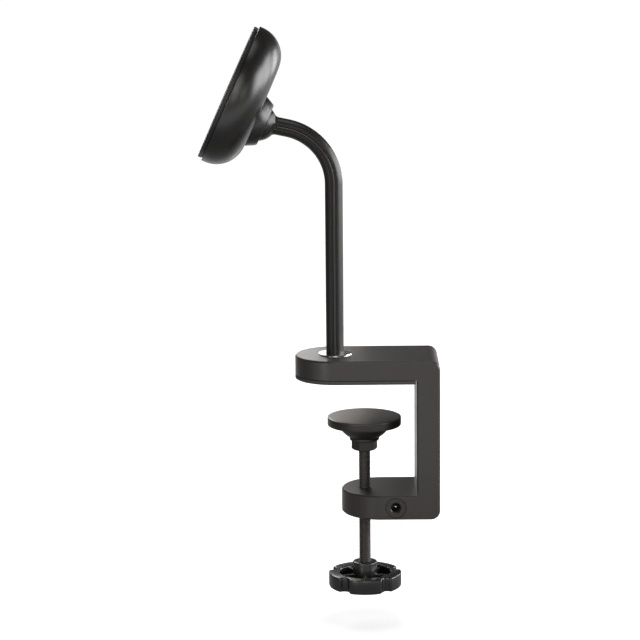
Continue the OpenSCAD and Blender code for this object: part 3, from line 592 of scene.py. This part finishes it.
def thread_material(colour):
    """Dark rolled steel, darker towards the roots of the thread and lighter towards its crests."""
    root, crest = 0.00206, 0.00244
    tree, where, coat = start_material(
        "thread_steel", AT_SCREW,
        dict(colour=colour, edge_colour=lighter(colour, 1.5), tone_drift=0.3, drift_size=0.004, grain_size=0.00012,
             grain_relief=0.2, roughness=0.36, roughness_spread=0.14, edge_radius=0.00008, edge_wear=0.2),
        metallic=0.4)
    high = span(tree, reach(tree, where, (1, 1, 0)), root, crest)
    shade = blend(tree, high, lighter(colour, 0.25), lighter(colour, 1.35))
    end_material(tree, blend(tree, 0.55, coat["Colour"], shade), coat["Roughness"], coat["Normal"])


def cushion_material(colour):
    """Smooth rubber face with faint press rings, and painted shade on its rounded rim."""
    # Painted shade: the edge colour is half the face's, so the coat's edge blend darkens the rounded rim
    tree, where, coat = start_material(
        "cushion_satin", AT_SCREW,
        dict(colour=colour, edge_colour=lighter(colour, 0.5), tone_drift=0.16, drift_size=0.006,
             grain_size=0.00016, grain_relief=0.2, roughness=0.36, roughness_spread=0.12, edge_radius=0.00025,
             edge_wear=0.3), specular_ior_level=0.5)
    rings = use_group(tree, "ring_lines", where, pitch=0.0011, wander=0.5)
    rough = math_node(tree, "ADD", coat["Roughness"], math_node(tree, "MULTIPLY", rings["Mask"], 0.06))
    end_material(tree, coat["Colour"], rough, coat["Normal"])


def disc_material(colour):
    """Soft-touch face: very fine matt grain with faint handling marks."""
    tree, where, coat = start_material(
        "disc_soft_touch", AT_FACE,
        dict(colour=colour, edge_colour=lighter(colour, 3.0, 0.03), tone_drift=0.2, drift_size=0.014,
             grain_size=0.00012, grain_relief=0.35, roughness=0.46, roughness_spread=0.12, edge_radius=0.00012,
             edge_wear=0.6), specular_ior_level=0.4, sheen_weight=0.08, sheen_roughness=0.4)
    marks = use_group(tree, "hairlines", where, stretch=(0.04, 1, 1), size=0.0005, amount=0.4)["Mask"]
    rough = math_node(tree, "SUBTRACT", coat["Roughness"], math_node(tree, "MULTIPLY", marks, 0.2), clamp=True)
    end_material(tree, coat["Colour"], rough, coat["Normal"])


def coil_material():
    """Enamelled copper wire wound in rings, with painted shade in the grooves between the turns."""
    tree, where, coat = start_material(
        "copper_winding", AT_FACE,
        dict(colour=(0.55, 0.23, 0.09), edge_colour=(0.66, 0.33, 0.16), grain_size=0.0002, roughness=0.28,
             edge_radius=0.0001), metallic=0.9)
    rings = use_group(tree, "ring_lines", where, pitch=0.00052, wander=0.05)
    # Painted shade: dark in the grooves between the turns of wire
    end_material(tree, blend(tree, rings["Mask"], coat["Colour"], (0.12, 0.04, 0.02)), coat["Roughness"],
                 bump(tree, rings["Height"], 0.0002))


def board_material():
    """Green solder mask with traces, and dark bodies on the components behind it."""
    board_rear, parts_front = -0.00855, -0.0087
    tree, where, coat = start_material(
        "board_mask", AT_FACE,
        dict(colour=(0.02, 0.14, 0.07), edge_colour=(0.35, 0.33, 0.2), grain_size=0.0003, roughness=0.3,
             edge_radius=0.0001, edge_wear=0.6), specular_ior_level=0.5)
    cells = fed(tree, "ShaderNodeTexVoronoi", {"Vector": where}, feature="DISTANCE_TO_EDGE")
    cells.inputs["Scale"].default_value = 420.0
    trace = span(tree, cells.outputs["Distance"], 0.04, 0.08, 1.0, 0.0)
    traced = blend(tree, math_node(tree, "MULTIPLY", trace, 0.5), coat["Colour"], (0.06, 0.26, 0.14))
    split = fed(tree, "ShaderNodeSeparateXYZ", {0: where}).outputs
    behind = span(tree, split["Z"], board_rear, parts_front)
    end_material(tree, blend(tree, behind, traced, (0.025, 0.025, 0.026)), coat["Roughness"], coat["Normal"])


CAD_FINISHES = {
    "upper_frame": "frame_satin", "lower_jaw": "lower_satin", "frame_screws": "black_oxide",
    "thread_bush": "turned_brass", "power_jack": "socket_moulding", "jack_pin": "contact_nickel",
    "jack_contact": "contact_nickel", "frame_lead": "black_lead", "arm_cable": "strand_jacket",
    "arm_washer": "plated_steel", "arm_nut": "plated_steel", "ball_seat": "natural_acetal",
    "seat_ring": "natural_acetal", "magnet_ring": "magnet_nickel", "charging_coil": "copper_winding",
    "ferrite_plate": "sintered_ferrite", "coil_carrier": "carrier_moulding", "carrier_screws": "plated_steel",
    "circuit_board": "board_mask", "head_lead": "red_wire", "swivel_cup": "natural_acetal",
    "knob_insert": "turned_brass", "foot_collar": "collar_polish",
}


class MOUNT_OT_finishes(Operator):
    """Make every finish and put it on the solids whose shape stays"""
    bl_idname = "mount.finishes"
    bl_label = "Finishes"

    def execute(self, context):
        build_materials()
        for name, finish in CAD_FINISHES.items():
            slots = frame["nodes"][name].data.materials
            slots.clear()
            slots.append(bpy.data.materials[finish])
        return {"FINISHED"}


class MOUNT_OT_arm(Operator):
    """Sweep the arm from its foot round the bend into the ball, and cut the cable groove"""
    bl_idname = "mount.arm"
    bl_label = "Arm"

    bend_steps = 44

    def execute(self, context):
        sizes = context.scene.mount_sizes
        arm = self.sweep()
        carve(arm, self.groove_tool(sizes.groove_width / MM, sizes.groove_depth / MM))
        finished(arm, "bent_arm", "arm", "arm_satin", "arm", smooth=30)
        return {"FINISHED"}

    def bend(self):
        bpy.ops.mesh.spin(steps=self.bend_steps, angle=BEND_ANGLE, center=(-BEND_R * MM, 0, BEND_Z * MM),
                          axis=(0, 1, 0))

    @staticmethod
    def loft(rings, size, centre_y=0.0, flat=False):
        """Extrudes along the neck through rings of (size, distance along it), from a first size at the bend's end."""
        along = 0.0
        for next_size, next_along in rings:
            extrude(*(NECK_DIR * (next_along - along)))
            grow = next_size / size
            centre = (BEND_END + NECK_DIR * next_along + Vector((0, centre_y, 0))) * MM
            bpy.ops.transform.resize(value=(grow, 1 if flat else grow, grow), center_override=centre)
            size, along = next_size, next_along

    def sweep(self):
        ball_steps, rod_steps = 30, 4
        clear_selection()
        bpy.ops.mesh.primitive_circle_add(vertices=72, radius=ARM_R * MM, fill_type="NGON",
                                          location=(0, 0, FOOT_Z * MM))
        obj = bpy.context.object
        edit(obj)
        for _ in range(rod_steps):
            extrude(z=(BEND_Z - FOOT_Z) / rod_steps)
        self.bend()
        # Neck, fillet and ball as rings of changing size
        fillet = arc((ARM_R + NECK_R, NECK_END), NECK_R, 180, 90 + math.degrees(FLARE), 8)
        turns = [FLARE + (math.pi - FLARE) * i / ball_steps for i in range(1, ball_steps)]
        ball = [(BALL_R * math.sin(turn), NECK_L - BALL_R * math.cos(turn)) for turn in turns]
        self.loft(fillet + ball, ARM_R)
        # Stud below the foot
        pick(obj, faces=lambda c, f: abs(c.z - FOOT_Z) < 0.01 and len(f.verts) > 8)
        extrude()
        bpy.ops.transform.resize(value=(STUD_R / ARM_R,) * 3, center_override=(0, 0, FOOT_Z * MM))
        extrude(z=-STUD_L)
        close_edit()
        return obj

    def groove_tool(self, width, depth):
        """A bar that follows the arm's front, proud of it by a millimetre, and ends round at the neck."""
        proud, below, past_neck, end_steps, point = 1.0, 1.0, 0.6, 8, 0.02
        high = depth + proud
        middle_y = -ARM_R + depth - high / 2
        clear_selection()
        bpy.ops.mesh.primitive_plane_add(size=MM, location=(0, middle_y * MM, (FOOT_Z - below) * MM))
        obj = bpy.context.object
        obj.scale = (width, high, 1)
        place(obj)
        edit(obj)
        extrude(z=BEND_Z - FOOT_Z + below)
        self.bend()
        half, end = width / 2, NECK_END + past_neck
        turns = [math.pi / 2 * i / end_steps for i in range(end_steps)]
        rings = [(half * math.cos(turn), end + half * math.sin(turn)) for turn in turns]
        self.loft(rings + [(point, end + half)], half, centre_y=middle_y, flat=True)
        close_edit()
        return obj


class MOUNT_OT_rear_shell(Operator):
    """Turn the polished rear shell, with its ball socket and screw bosses inside"""
    bl_idname = "mount.rear_shell"
    bl_label = "Rear shell"

    def execute(self, context):
        dome_r, edge, depth, wall, front = 12.4, 3.5, 15.9, 2.0, -1.95
        rim_inner, rim_round = 28.0, 0.14
        flat_r = HEAD_R - dome_r
        outer = [(0, -depth)] + arc((flat_r, -edge), dome_r, -90, 0, 40)
        rim = arc((HEAD_R - rim_round, front - rim_round), rim_round, 0, 90, 4) + [(rim_inner, front)]
        inner = [(rim_inner, -edge)] + arc((flat_r, -edge), dome_r - wall, 0, -90, 24)[1:] + [(0, wall - depth)]
        shell = place(turned(outer + rim + inner), AT_FACE)
        carve(shell, place(turned([(0, -2.0), (9.2, -2.0), (9.2, 4.0), (0, 4.0)]), AT_BALL))
        socket = arc((0, 0), 8.65, -4, 79.5, 24) + arc((0, 0), 10.05, 80.9, 12, 20) + \
            [(9.4, 2.2), (9.4, -0.35), (9.15, -0.6)]
        pieces = [place(turned(socket, closed=True), AT_BALL)]
        # Three screw bosses on a ring, from the carrier back into the shell
        boss_ring, bore_r, boss_r, boss_front, boss_rear = 21.5, 1.03, 2.3, -9.1, -14.4
        boss = [(bore_r, boss_front), (boss_r - 0.25, boss_front), (boss_r, boss_front - 0.3), (boss_r, boss_rear),
                (bore_r, boss_rear)]
        for angle in (math.radians(turn) for turn in (60, 180, 300)):
            spot = Vector((boss_ring * math.cos(angle), boss_ring * math.sin(angle), 2.1)) * MM
            pieces.append(place(turned(boss, closed=True, steps=32), AT_FACE @ Matrix.Translation(spot)))
        joined(shell, *pieces)
        finished(shell, "rear_shell", "head", "shell_polish", "head_shell", smooth=28)
        return {"FINISHED"}


class MOUNT_OT_front_disc(Operator):
    """Turn the thin front disc with its rim, fine ring and soft face"""
    bl_idname = "mount.front_disc"
    bl_label = "Front disc"

    def execute(self, context):
        step = context.scene.mount_sizes.disc_ring / MM
        # Sunken middle, raised ring, fine line, rounded rim, then the step down to the seam and the rear
        face = [(0, -step), (19.6, -step), (19.9, 0), (27.2, 0), (27.35, -step), (27.65, -step), (27.8, 0)]
        rim = arc((28.8, -0.3), 0.3, 90, 0, 5) + [(29.1, -1.45), (29.0, -1.55)]
        rear = [(28.75, -1.55), (28.75, -1.92), (27.9, -1.92), (27.9, -2.05), (0, -2.05)]
        disc = place(turned(face + rim + rear), AT_FACE)
        finished(disc, "front_face", "head", "disc_soft_touch", "front_disc", smooth=25)
        return {"FINISHED"}


class MOUNT_OT_lock_nut(Operator):
    """Turn the conical lock nut behind the head"""
    bl_idname = "mount.lock_nut"
    bl_label = "Lock nut"

    def execute(self, context):
        rear, front, rear_r, front_r = -3.15, 1.2, 9.0, 11.2
        slope = (front_r - rear_r) / (front - rear)
        outer = [(8.62, rear)] + arc((8.62, rear + 0.35), 0.35, -90, -27, 4) + \
            [(rear_r + slope * 0.5, rear + 0.5), (front_r - slope * 0.35, front - 0.35),
             (front_r - 0.1, front - 0.08), (front_r - 0.25, front)]
        # Bore: room for the socket, a groove, the lip that closes on the ball, and the mouth for the neck
        inner = [(9.46, front), (9.46, -0.75), (8.6, -0.95), (8.3, -1.85), (7.22, -1.95), (7.12, -3.05), (7.3, rear)]
        nut = place(turned(outer + inner, closed=True), AT_BALL)
        finished(nut, "cone_nut", "lock_nut", "nut_satin", "lock_nut", smooth=28)
        return {"FINISHED"}


class MOUNT_OT_jaw_pad(Operator):
    """Model the soft pad under the upper jaw"""
    bl_idname = "mount.jaw_pad"
    bl_label = "Jaw pad"

    def execute(self, context):
        _, (end, radius, thick) = box_mm("jaw_pad")
        clear_selection()
        bpy.ops.mesh.primitive_circle_add(vertices=144, radius=radius * MM, fill_type="NGON", location=(0, 0, 0))
        pad = bpy.context.object
        edit(pad)
        bpy.ops.mesh.bisect(plane_co=(0, 0, 0), plane_no=(1, 0, 0), clear_outer=True, threshold=1e-6)
        bpy.ops.mesh.select_mode(type="EDGE")
        pick(pad, edges=lambda c, e: abs(c.x) < 0.01 and e.is_boundary and e.calc_length() > MM)
        extrude(x=end)
        bpy.ops.mesh.select_all(action="SELECT")
        extrude(z=thick)
        bpy.ops.mesh.select_all(action="SELECT")
        bpy.ops.mesh.normals_make_consistent(inside=False)
        pick(pad, edges=lambda c, e: e.is_manifold and e.calc_face_angle() > math.radians(40))
        bpy.ops.mesh.bevel(offset=context.scene.mount_sizes.pad_edge, segments=3, affect="EDGES")
        bpy.ops.object.mode_set(mode="OBJECT")
        finished(pad, "soft_jaw_pad", "frame", "rubber_pad", "jaw_pad")
        return {"FINISHED"}


class MOUNT_OT_clamp_screw(Operator):
    """Wind the thread on the clamp screw and turn its ball end"""
    bl_idname = "mount.clamp_screw"
    bl_label = "Clamp screw"

    rod_r, tip_r, neck_r, neck_l = 2.45, 3.2, 1.8, 1.6
    overlap = 0.08
    thread_steps = 28

    def execute(self, context):
        sizes = context.scene.mount_sizes
        pitch, root = sizes.thread_pitch / MM, self.rod_r - sizes.thread_depth / MM
        low, high = box_mm("screw_rod")
        tip_z = high.z - self.tip_r
        core_top = tip_z - self.tip_r - self.neck_l
        ball = arc((0, tip_z), self.tip_r, -55, 90, 24)
        core = [(0, low.z), (root - 0.3, low.z), (root + 0.02, low.z + 0.4), (root + 0.02, core_top),
                (self.neck_r, core_top + 0.2)]
        core = turned(core + ball, steps=48)
        start = low.z + 0.3
        joined(core, self.thread(root, pitch, start, int((core_top - 0.4 - start) / pitch)))
        place(core, AT_SCREW)
        finished(core, "threaded_rod", "screw", "thread_steel", "screw_rod", smooth=40)
        return {"FINISHED"}

    def thread(self, root, pitch, start, turns):
        """One ridge, its foot sunk in the core, wound up the rod and closed at both ends."""
        sunk = root - self.overlap
        ridge = [(sunk, 0.02), (self.rod_r, 0.30), (sunk, 0.98), (self.rod_r, 0.70)]
        clear_selection()
        bpy.ops.mesh.primitive_plane_add(size=MM)
        thread = bpy.context.object
        for corner, (r, share) in zip(thread.data.vertices, ridge):
            corner.co = (r * MM, 0, (start + share * pitch) * MM)
        edit(thread)
        bpy.ops.mesh.delete(type="ONLY_FACE")
        bpy.ops.object.mode_set(mode="OBJECT")
        wind = thread.modifiers.new("wind", "SCREW")
        wind.angle = 2 * math.pi
        wind.screw_offset = pitch * MM
        wind.iterations = turns
        wind.steps = wind.render_steps = self.thread_steps
        bpy.ops.object.modifier_apply(modifier=wind.name)
        edit(thread, "EDGE")
        merge_doubles()
        bpy.ops.mesh.select_all(action="DESELECT")
        bpy.ops.mesh.select_non_manifold()
        bpy.ops.mesh.fill()
        close_edit()
        return thread


class MOUNT_OT_pressure_plate(Operator):
    """Turn the pressure plate with its bowl, its crowned cushion and the nut that keeps the screw in it"""
    bl_idname = "mount.pressure_plate"
    bl_label = "Pressure plate"

    plate_t, bowl_r, bowl_foot_r = 3.0, 11.2, 6.2
    hex_h, hex_af, hex_turn = 4.0, 9.5, 8.0

    def execute(self, context):
        sizes = context.scene.mount_sizes
        self.plate(sizes.plate_edge / MM)
        self.cushion()
        self.nut(sizes.hex_chamfer / MM)
        return {"FINISHED"}

    def plate(self, soft):
        low, high = box_mm("pressure_plate")
        top, plate_low, bowl_low, rim = high.z, high.z - self.plate_t, low.z, high.y
        outline = [(0, top), (rim - 0.15, top), (rim, top - 0.15)] + \
            arc((rim - soft, plate_low + soft), soft, 0, -90, 6) + \
            [(self.bowl_r + 0.7, plate_low), (self.bowl_r + 0.2, plate_low - 0.12)]
        # Round bowl from the plate down to its foot, part of one ball
        drop = plate_low - bowl_low
        rise = (self.bowl_r ** 2 - self.bowl_foot_r ** 2 - drop ** 2) / (2 * drop)
        ball = math.hypot(self.bowl_r, rise)
        levels = [plate_low - 0.4 - (drop - 0.5) * i / 16 for i in range(17)]
        outline += [(math.sqrt(ball ** 2 - (plate_low + rise - z) ** 2), z) for z in levels]
        outline += [(self.bowl_foot_r - 0.2, bowl_low), (5.0, bowl_low), (5.0, top - 2.6), (0, top - 1.2)]
        finished(place(turned(outline), AT_SCREW), "pressure_disc", "plate", "plate_moulding",
                 "pressure_plate", smooth=35)

    @staticmethod
    def cushion():
        low, high = box_mm("plate_cushion")
        rim, drop, steps = high.y, 0.35, 16
        crown = [(rim * i / steps, high.z - drop * (i / steps) ** 2) for i in range(steps)]
        edge = [(rim - 0.3, high.z - 0.36), (rim - 0.08, high.z - 0.46), (rim, high.z - 0.64),
                (rim, low.z + 0.06), (rim - 0.1, low.z), (0, low.z)]
        cushion = place(turned(crown + edge), AT_SCREW)
        finished(cushion, "plate_pad", "plate", "cushion_satin", "plate_cushion", smooth=35)

    def nut(self, chamfer):
        low, high = box_mm("retaining_nut")
        hex_low, hex_top = low.z, low.z + self.hex_h
        flange = [(4.0, hex_top)] + arc((5.75, hex_top + 0.5), 0.5, -90, 0, 6) + \
            arc((5.95, hex_top + 1.0), 0.3, 0, 90, 4) + [(4.9, hex_top + 1.3), (4.9, high.z), (4.0, high.z)]
        flange = turned(flange, closed=True)
        across = self.hex_af / 2
        corner = across / math.cos(math.radians(30))
        clear_selection()
        bpy.ops.mesh.primitive_cylinder_add(vertices=6, radius=corner * MM, depth=self.hex_h * MM,
                                            location=(0, 0, (hex_low + self.hex_h / 2) * MM),
                                            rotation=(0, 0, math.radians(self.hex_turn - 30)))
        hexagon = place(bpy.context.object)
        barrel = turned([(0, hex_low), (across - 0.05, hex_low), (corner + 0.05, hex_low + chamfer),
                         (corner + 0.05, hex_top), (0, hex_top)])
        carve(hexagon, barrel, "INTERSECT")
        bore_r, low_z, high_z = 3.55, hex_low - 1, hex_low + 6
        carve(hexagon, turned([(0, low_z), (bore_r, low_z), (bore_r, high_z), (0, high_z)], steps=64))
        place(joined(hexagon, flange), AT_SCREW)
        finished(hexagon, "hexagon_nut", "plate", "plate_moulding", "retaining_nut", smooth=30)


class MOUNT_OT_knob(Operator):
    """Model the five-lobed knob with its hub and pockets"""
    bl_idname = "mount.knob"
    bl_label = "Knob"

    lobes = 5
    knob_r, scallop_r, scallop_depth, lobe_r = 15.4, 2.2, 2.3, 0.9
    rim_h, floor_t, pocket_r, hub_r, rib_t, rib_drop = 6.3, 1.6, 10.8, 5.15, 1.6, 0.9

    def outline(self):
        """Finger scallops, rounded corners and outer arcs, all the way round."""
        at, corner = self.knob_r - self.scallop_depth + self.scallop_r, self.knob_r - self.lobe_r
        turn = math.acos((corner ** 2 + at ** 2 - (self.scallop_r + self.lobe_r) ** 2) / (2 * corner * at))
        toward = math.atan2(-corner * math.sin(turn), at - corner * math.cos(turn))
        lobe = 2 * math.pi / self.lobes
        deg = math.degrees
        points = arc((at, 0), self.scallop_r, 180 - deg(toward), 180 + deg(toward), 14)
        points += arc((corner * math.cos(turn), corner * math.sin(turn)), self.lobe_r, deg(toward), deg(turn), 6)[1:]
        points += arc((0, 0), self.knob_r, deg(turn), deg(lobe - turn), 18)[1:]
        points += arc((corner * math.cos(lobe - turn), corner * math.sin(lobe - turn)), self.lobe_r,
                      deg(lobe - turn), deg(lobe - toward), 6)[1:-1]
        spread = []
        for i in range(self.lobes):
            turn = Matrix.Rotation((i + 0.5) * lobe - math.pi / 2, 2)
            spread += [turn @ Vector(point) for point in points]
        return spread

    def execute(self, context):
        sizes = context.scene.mount_sizes
        low, high = box_mm("knob")
        rim_top, pocket_z = low.z + self.rim_h, low.z + self.floor_t
        points = self.outline()
        clear_selection()
        bpy.ops.mesh.primitive_circle_add(vertices=len(points), radius=self.knob_r * MM, fill_type="NGON",
                                          location=(0, 0, 0))
        body = bpy.context.object
        for corner, point in zip(body.data.vertices, points):
            corner.co = (point.x * MM, point.y * MM, low.z * MM)
        edit(body)
        extrude(z=self.rim_h)
        bpy.ops.mesh.select_all(action="SELECT")
        bpy.ops.mesh.normals_make_consistent(inside=False)
        bpy.ops.mesh.select_mode(type="EDGE")
        for edge_z, amount in ((rim_top, sizes.knob_top_edge), (low.z, sizes.knob_low_edge)):
            pick(body, edges=lambda c, e: abs(c.z - edge_z) < 0.01)
            bpy.ops.mesh.bevel(offset=amount, segments=4, affect="EDGES")
        bpy.ops.object.mode_set(mode="OBJECT")
        carve(body, self.pockets(pocket_z, rim_top))
        hub_r, foot_r, bore_r = self.hub_r, self.hub_r + 0.3, 3.75
        hub = [(2.5, high.z - 0.3), (2.8, high.z)] + arc((hub_r - 0.4, high.z - 0.4), 0.4, 90, 0, 4) + \
            [(hub_r, rim_top - 4.4), (foot_r, pocket_z + 0.05), (foot_r, pocket_z - 0.3),
             (bore_r, pocket_z - 0.3), (bore_r, high.z - 0.6), (2.5, high.z - 0.6)]
        joined(body, turned(hub, closed=True, steps=96))
        place(body, AT_SCREW)
        finished(body, "star_knob", "screw", "knob_moulding", "knob", smooth=32)
        return {"FINISHED"}

    def pockets(self, pocket_z, rim_top):
        """The tool that cuts the pockets: a turned ring, less a rib at the middle of each lobe."""
        wide, proud = self.pocket_r + 0.4, rim_top + 1
        tool = turned([(0, pocket_z)] + arc((self.pocket_r - 0.5, pocket_z + 0.5), 0.5, -90, 0, 4) +
                      [(self.pocket_r, rim_top - 0.4), (wide, rim_top + 0.01), (wide, proud), (0, proud)])
        tall = self.rim_h - self.floor_t - self.rib_drop + 1
        for i in range(self.lobes):
            turn = 2 * math.pi * i / self.lobes - math.pi / 2
            clear_selection()
            bpy.ops.mesh.primitive_cube_add(size=MM)
            web = bpy.context.object
            web.matrix_world = Matrix.Rotation(turn, 4, "Z") @ Matrix.Translation(
                Vector((7.5, 0, pocket_z - 1 + tall / 2)) * MM) @ Matrix.Diagonal((9, self.rib_t, tall, 1))
            carve(tool, web)
        return tool


# Softboxes and white cards: studio brightness and its share, place and size in metres, then aim or tint
LAMPS = (
    ("right_softbox", "right", 1.0, (1.14, -0.28, 0.25), (0.56, 0.62), {}),
    ("side_softbox", "side", 1.0, (1.12, 0.27, 0.29), (0.56, 0.72), {}),
    ("rear_softbox", "rear", 1.0, (0.85, 0.82, 0.19), (0.34, 0.42), {}),
    ("left_softbox", "left", 1.0, (-0.60, -1.03, 0.155), (0.20, 0.42), {}),
    ("low_softbox", "low", 1.0, (0.59, -1.03, 0.155), (0.42, 0.42), {}),
    ("warm_softbox", "warm", 1.0, (0.05, -1.15, 0.22), (0.35, 0.45), {"tint": (1.0, 0.94, 0.84)}),
    ("front_softbox", "front", 1.0, (0.0, -1.06, 0.59), (0.64, 0.48), {}),
    ("top_softbox", "top", 1.0, (0.20, 0.0, 1.21), (0.70, 0.55), {}),
    ("back_softbox", "back", 1.0, (-0.165, 0.49, 0.32), (0.20, 0.20), {}),
    ("back_card", "card", 1.0, (-0.0665, 0.30, 0.085), (0.127, 0.085), {"aim": (-0.0665, 0, 0)}),
    ("low_card", "card", 0.75, (-0.004, 0.14, 0.016), (0.036, 0.020),
     {"aim": (0.01, 0, -0.017), "tint": (1.0, 0.90, 0.76)}),
)


class MOUNT_OT_studio(Operator):
    """Set the camera, the pale floor and the soft studio light"""
    bl_idname = "mount.studio"
    bl_label = "Studio"

    def execute(self, context):
        studio = context.scene.mount_studio
        context.scene.view_settings.view_transform = "Standard"
        self.camera(studio)
        self.floor(studio)
        self.surroundings(studio)
        for name, strength, share, spot, size, more in LAMPS:
            self.lamp(name, getattr(studio, strength) * share, spot, size, **more)
        return {"FINISHED"}

    @staticmethod
    def camera(studio):
        data = bpy.data.cameras.new("photo_camera")
        camera = bpy.data.objects.new("photo_camera", data)
        bpy.context.scene.collection.objects.link(camera)
        data.sensor_fit = "HORIZONTAL"
        data.sensor_width = 36.0
        data.lens = studio.lens
        data.clip_start, data.clip_end = 0.05, 60.0
        target, distance = Vector((-6.179, 0, 24.37)), 1085.86
        back = Vector((0.003872, -0.98171, 0.19033)).normalized()
        look = (-back).to_track_quat("-Z", "Y").to_matrix().to_4x4()
        spot = Matrix.Translation((target + back * distance) * MM)
        camera.matrix_world = spot @ look @ Matrix.Rotation(studio.roll, 4, "Z")
        bpy.context.scene.camera = camera

    @staticmethod
    def floor(studio):
        """A pale floor that camera and transmission rays see white, and reflections see white in two strips."""
        floor_z = box_mm("knob")[0].z * MM - studio.floor_drop
        clear_selection()
        bpy.ops.mesh.primitive_plane_add(size=24, location=(0, 0, floor_z))
        floor = bpy.context.object
        floor.name = "studio_floor"
        material = bpy.data.materials.new("studio_floor")
        material.use_nodes = True
        tree = material.node_tree
        tree.nodes.remove(tree.nodes["Principled BSDF"])
        surface = node(tree, "ShaderNodeNewGeometry").outputs
        where = surface["Position"]
        path = node(tree, "ShaderNodeLightPath").outputs
        seen = math_node(tree, "MAXIMUM", path["Is Camera Ray"], path["Is Transmission Ray"])
        along = fed(tree, "ShaderNodeSeparateXYZ", {0: where}).outputs
        grey = blend(tree, seen, (0.32, 0.32, 0.32), (0.50, 0.50, 0.50))
        matt = fed(tree, "ShaderNodeBsdfDiffuse", {"Color": grey})
        # Own brightness, less below the knob, where the shadow stays
        away = fed(tree, "ShaderNodeVectorMath", {0: where, 1: (AT_SCREW.translation.x, 0, floor_z)},
                   operation="DISTANCE").outputs["Value"]
        glow = span(tree, away, 0.014, 0.045, studio.near_floor, 1.0)
        rear = math_node(tree, "MULTIPLY", span(tree, along["Y"], 0.12, 0.30),
                         span(tree, along["X"], -0.40, -0.15, 0.0, 0.6))
        front = math_node(tree, "MULTIPLY", span(tree, along["Y"], -0.18, -0.28),
                          span(tree, along["Y"], -0.78, -0.5, 0.0, 0.9))
        strips = math_node(tree, "MULTIPLY", math_node(tree, "MAXIMUM", rear, front), studio.mirrored)
        shown = math_node(tree, "MAXIMUM", seen, math_node(tree, "MULTIPLY", path["Is Glossy Ray"], strips))
        white = fed(tree, "ShaderNodeEmission", {"Strength": math_node(tree, "MULTIPLY", shown, glow)})
        lit = fed(tree, "ShaderNodeAddShader", {0: matt.outputs[0], 1: white.outputs[0]})
        # Clear from below
        clear = node(tree, "ShaderNodeBsdfTransparent")
        both = fed(tree, "ShaderNodeMixShader", {0: surface["Backfacing"], 1: lit.outputs[0], 2: clear.outputs[0]})
        tree.links.new(both.outputs[0], tree.nodes["Material Output"].inputs["Surface"])
        floor.data.materials.append(material)

    @staticmethod
    def surroundings(studio):
        """Even light from all sides, white to camera and transmission rays, and to reflections low at the back."""
        world = bpy.data.worlds.new("studio")
        bpy.context.scene.world = world
        world.use_nodes = True
        tree = world.node_tree
        ground = tree.nodes["Background"]
        ground.inputs["Color"].default_value = (1, 1, 1, 1)
        ground.inputs["Strength"].default_value = studio.fill
        shown = fed(tree, "ShaderNodeBackground", {"Color": (1, 1, 1, 1), "Strength": 1.0})
        path = node(tree, "ShaderNodeLightPath").outputs
        direct = math_node(tree, "MAXIMUM", path["Is Camera Ray"], path["Is Transmission Ray"])
        towards = node(tree, "ShaderNodeTexCoord").outputs["Generated"]
        along = fed(tree, "ShaderNodeSeparateXYZ", {0: towards}).outputs
        behind = math_node(tree, "MULTIPLY", span(tree, along["Y"], -0.1, 0.3),
                           span(tree, along["Z"], 0.12, 0.02, 0.0, studio.mirrored))
        mirrored = math_node(tree, "MULTIPLY", path["Is Glossy Ray"], behind)
        mix = fed(tree, "ShaderNodeMixShader", {0: math_node(tree, "MAXIMUM", direct, mirrored),
                                                1: ground.outputs[0], 2: shown.outputs[0]})
        tree.links.new(mix.outputs[0], tree.nodes["World Output"].inputs["Surface"])

    @staticmethod
    def lamp(name, radiance, spot, size, aim=(0, 0, 0.03), tint=(1, 1, 1)):
        """A soft panel whose face has the given brightness, where 1 is white."""
        data = bpy.data.lights.new(name, "AREA")
        data.shape = "RECTANGLE"
        data.size, data.size_y = size
        data.energy = radiance * math.pi * size[0] * size[1]
        data.color = tint
        lamp = bpy.data.objects.new(name, data)
        bpy.context.scene.collection.objects.link(lamp)
        lamp.visible_camera = False
        lamp.location = spot
        lamp.rotation_euler = (Vector(aim) - Vector(spot)).to_track_quat("-Z", "Y").to_euler()


STEPS = ("finishes", "studio", "arm", "rear_shell", "front_disc", "lock_nut", "jaw_pad", "clamp_screw",
         "pressure_plate", "knob")


class MOUNT_PT_panel(Panel):
    """Sizes, finishes and building steps of the phone mount"""
    bl_idname = "MOUNT_PT_panel"
    bl_label = "Phone mount"
    bl_space_type = "VIEW_3D"
    bl_region_type = "UI"
    bl_category = "Phone mount"

    def draw(self, context):
        layout = self.layout
        for group in (context.scene.mount_sizes, context.scene.mount_colours, context.scene.mount_studio):
            box = layout.box()
            for key in group.bl_rna.properties.keys():
                if key not in {"rna_type", "name"}:
                    box.prop(group, key)
        for step in STEPS:
            layout.operator("mount." + step)


CLASSES = (MountSizes, MountColours, MountStudio, MOUNT_OT_finishes, MOUNT_OT_studio, MOUNT_OT_arm,
           MOUNT_OT_rear_shell, MOUNT_OT_front_disc, MOUNT_OT_lock_nut, MOUNT_OT_jaw_pad, MOUNT_OT_clamp_screw,
           MOUNT_OT_pressure_plate, MOUNT_OT_knob, MOUNT_PT_panel)


def register():
    for made in CLASSES:
        bpy.utils.register_class(made)
    bpy.types.Scene.mount_sizes = PointerProperty(type=MountSizes)
    bpy.types.Scene.mount_colours = PointerProperty(type=MountColours)
    bpy.types.Scene.mount_studio = PointerProperty(type=MountStudio)


def unregister():
    del bpy.types.Scene.mount_studio
    del bpy.types.Scene.mount_colours
    del bpy.types.Scene.mount_sizes
    for made in reversed(CLASSES):
        bpy.utils.unregister_class(made)


def main():
    register()
    for step in STEPS:
        getattr(bpy.ops.mount, step)()
    clear_selection()


if __name__ == "__main__":
    main()
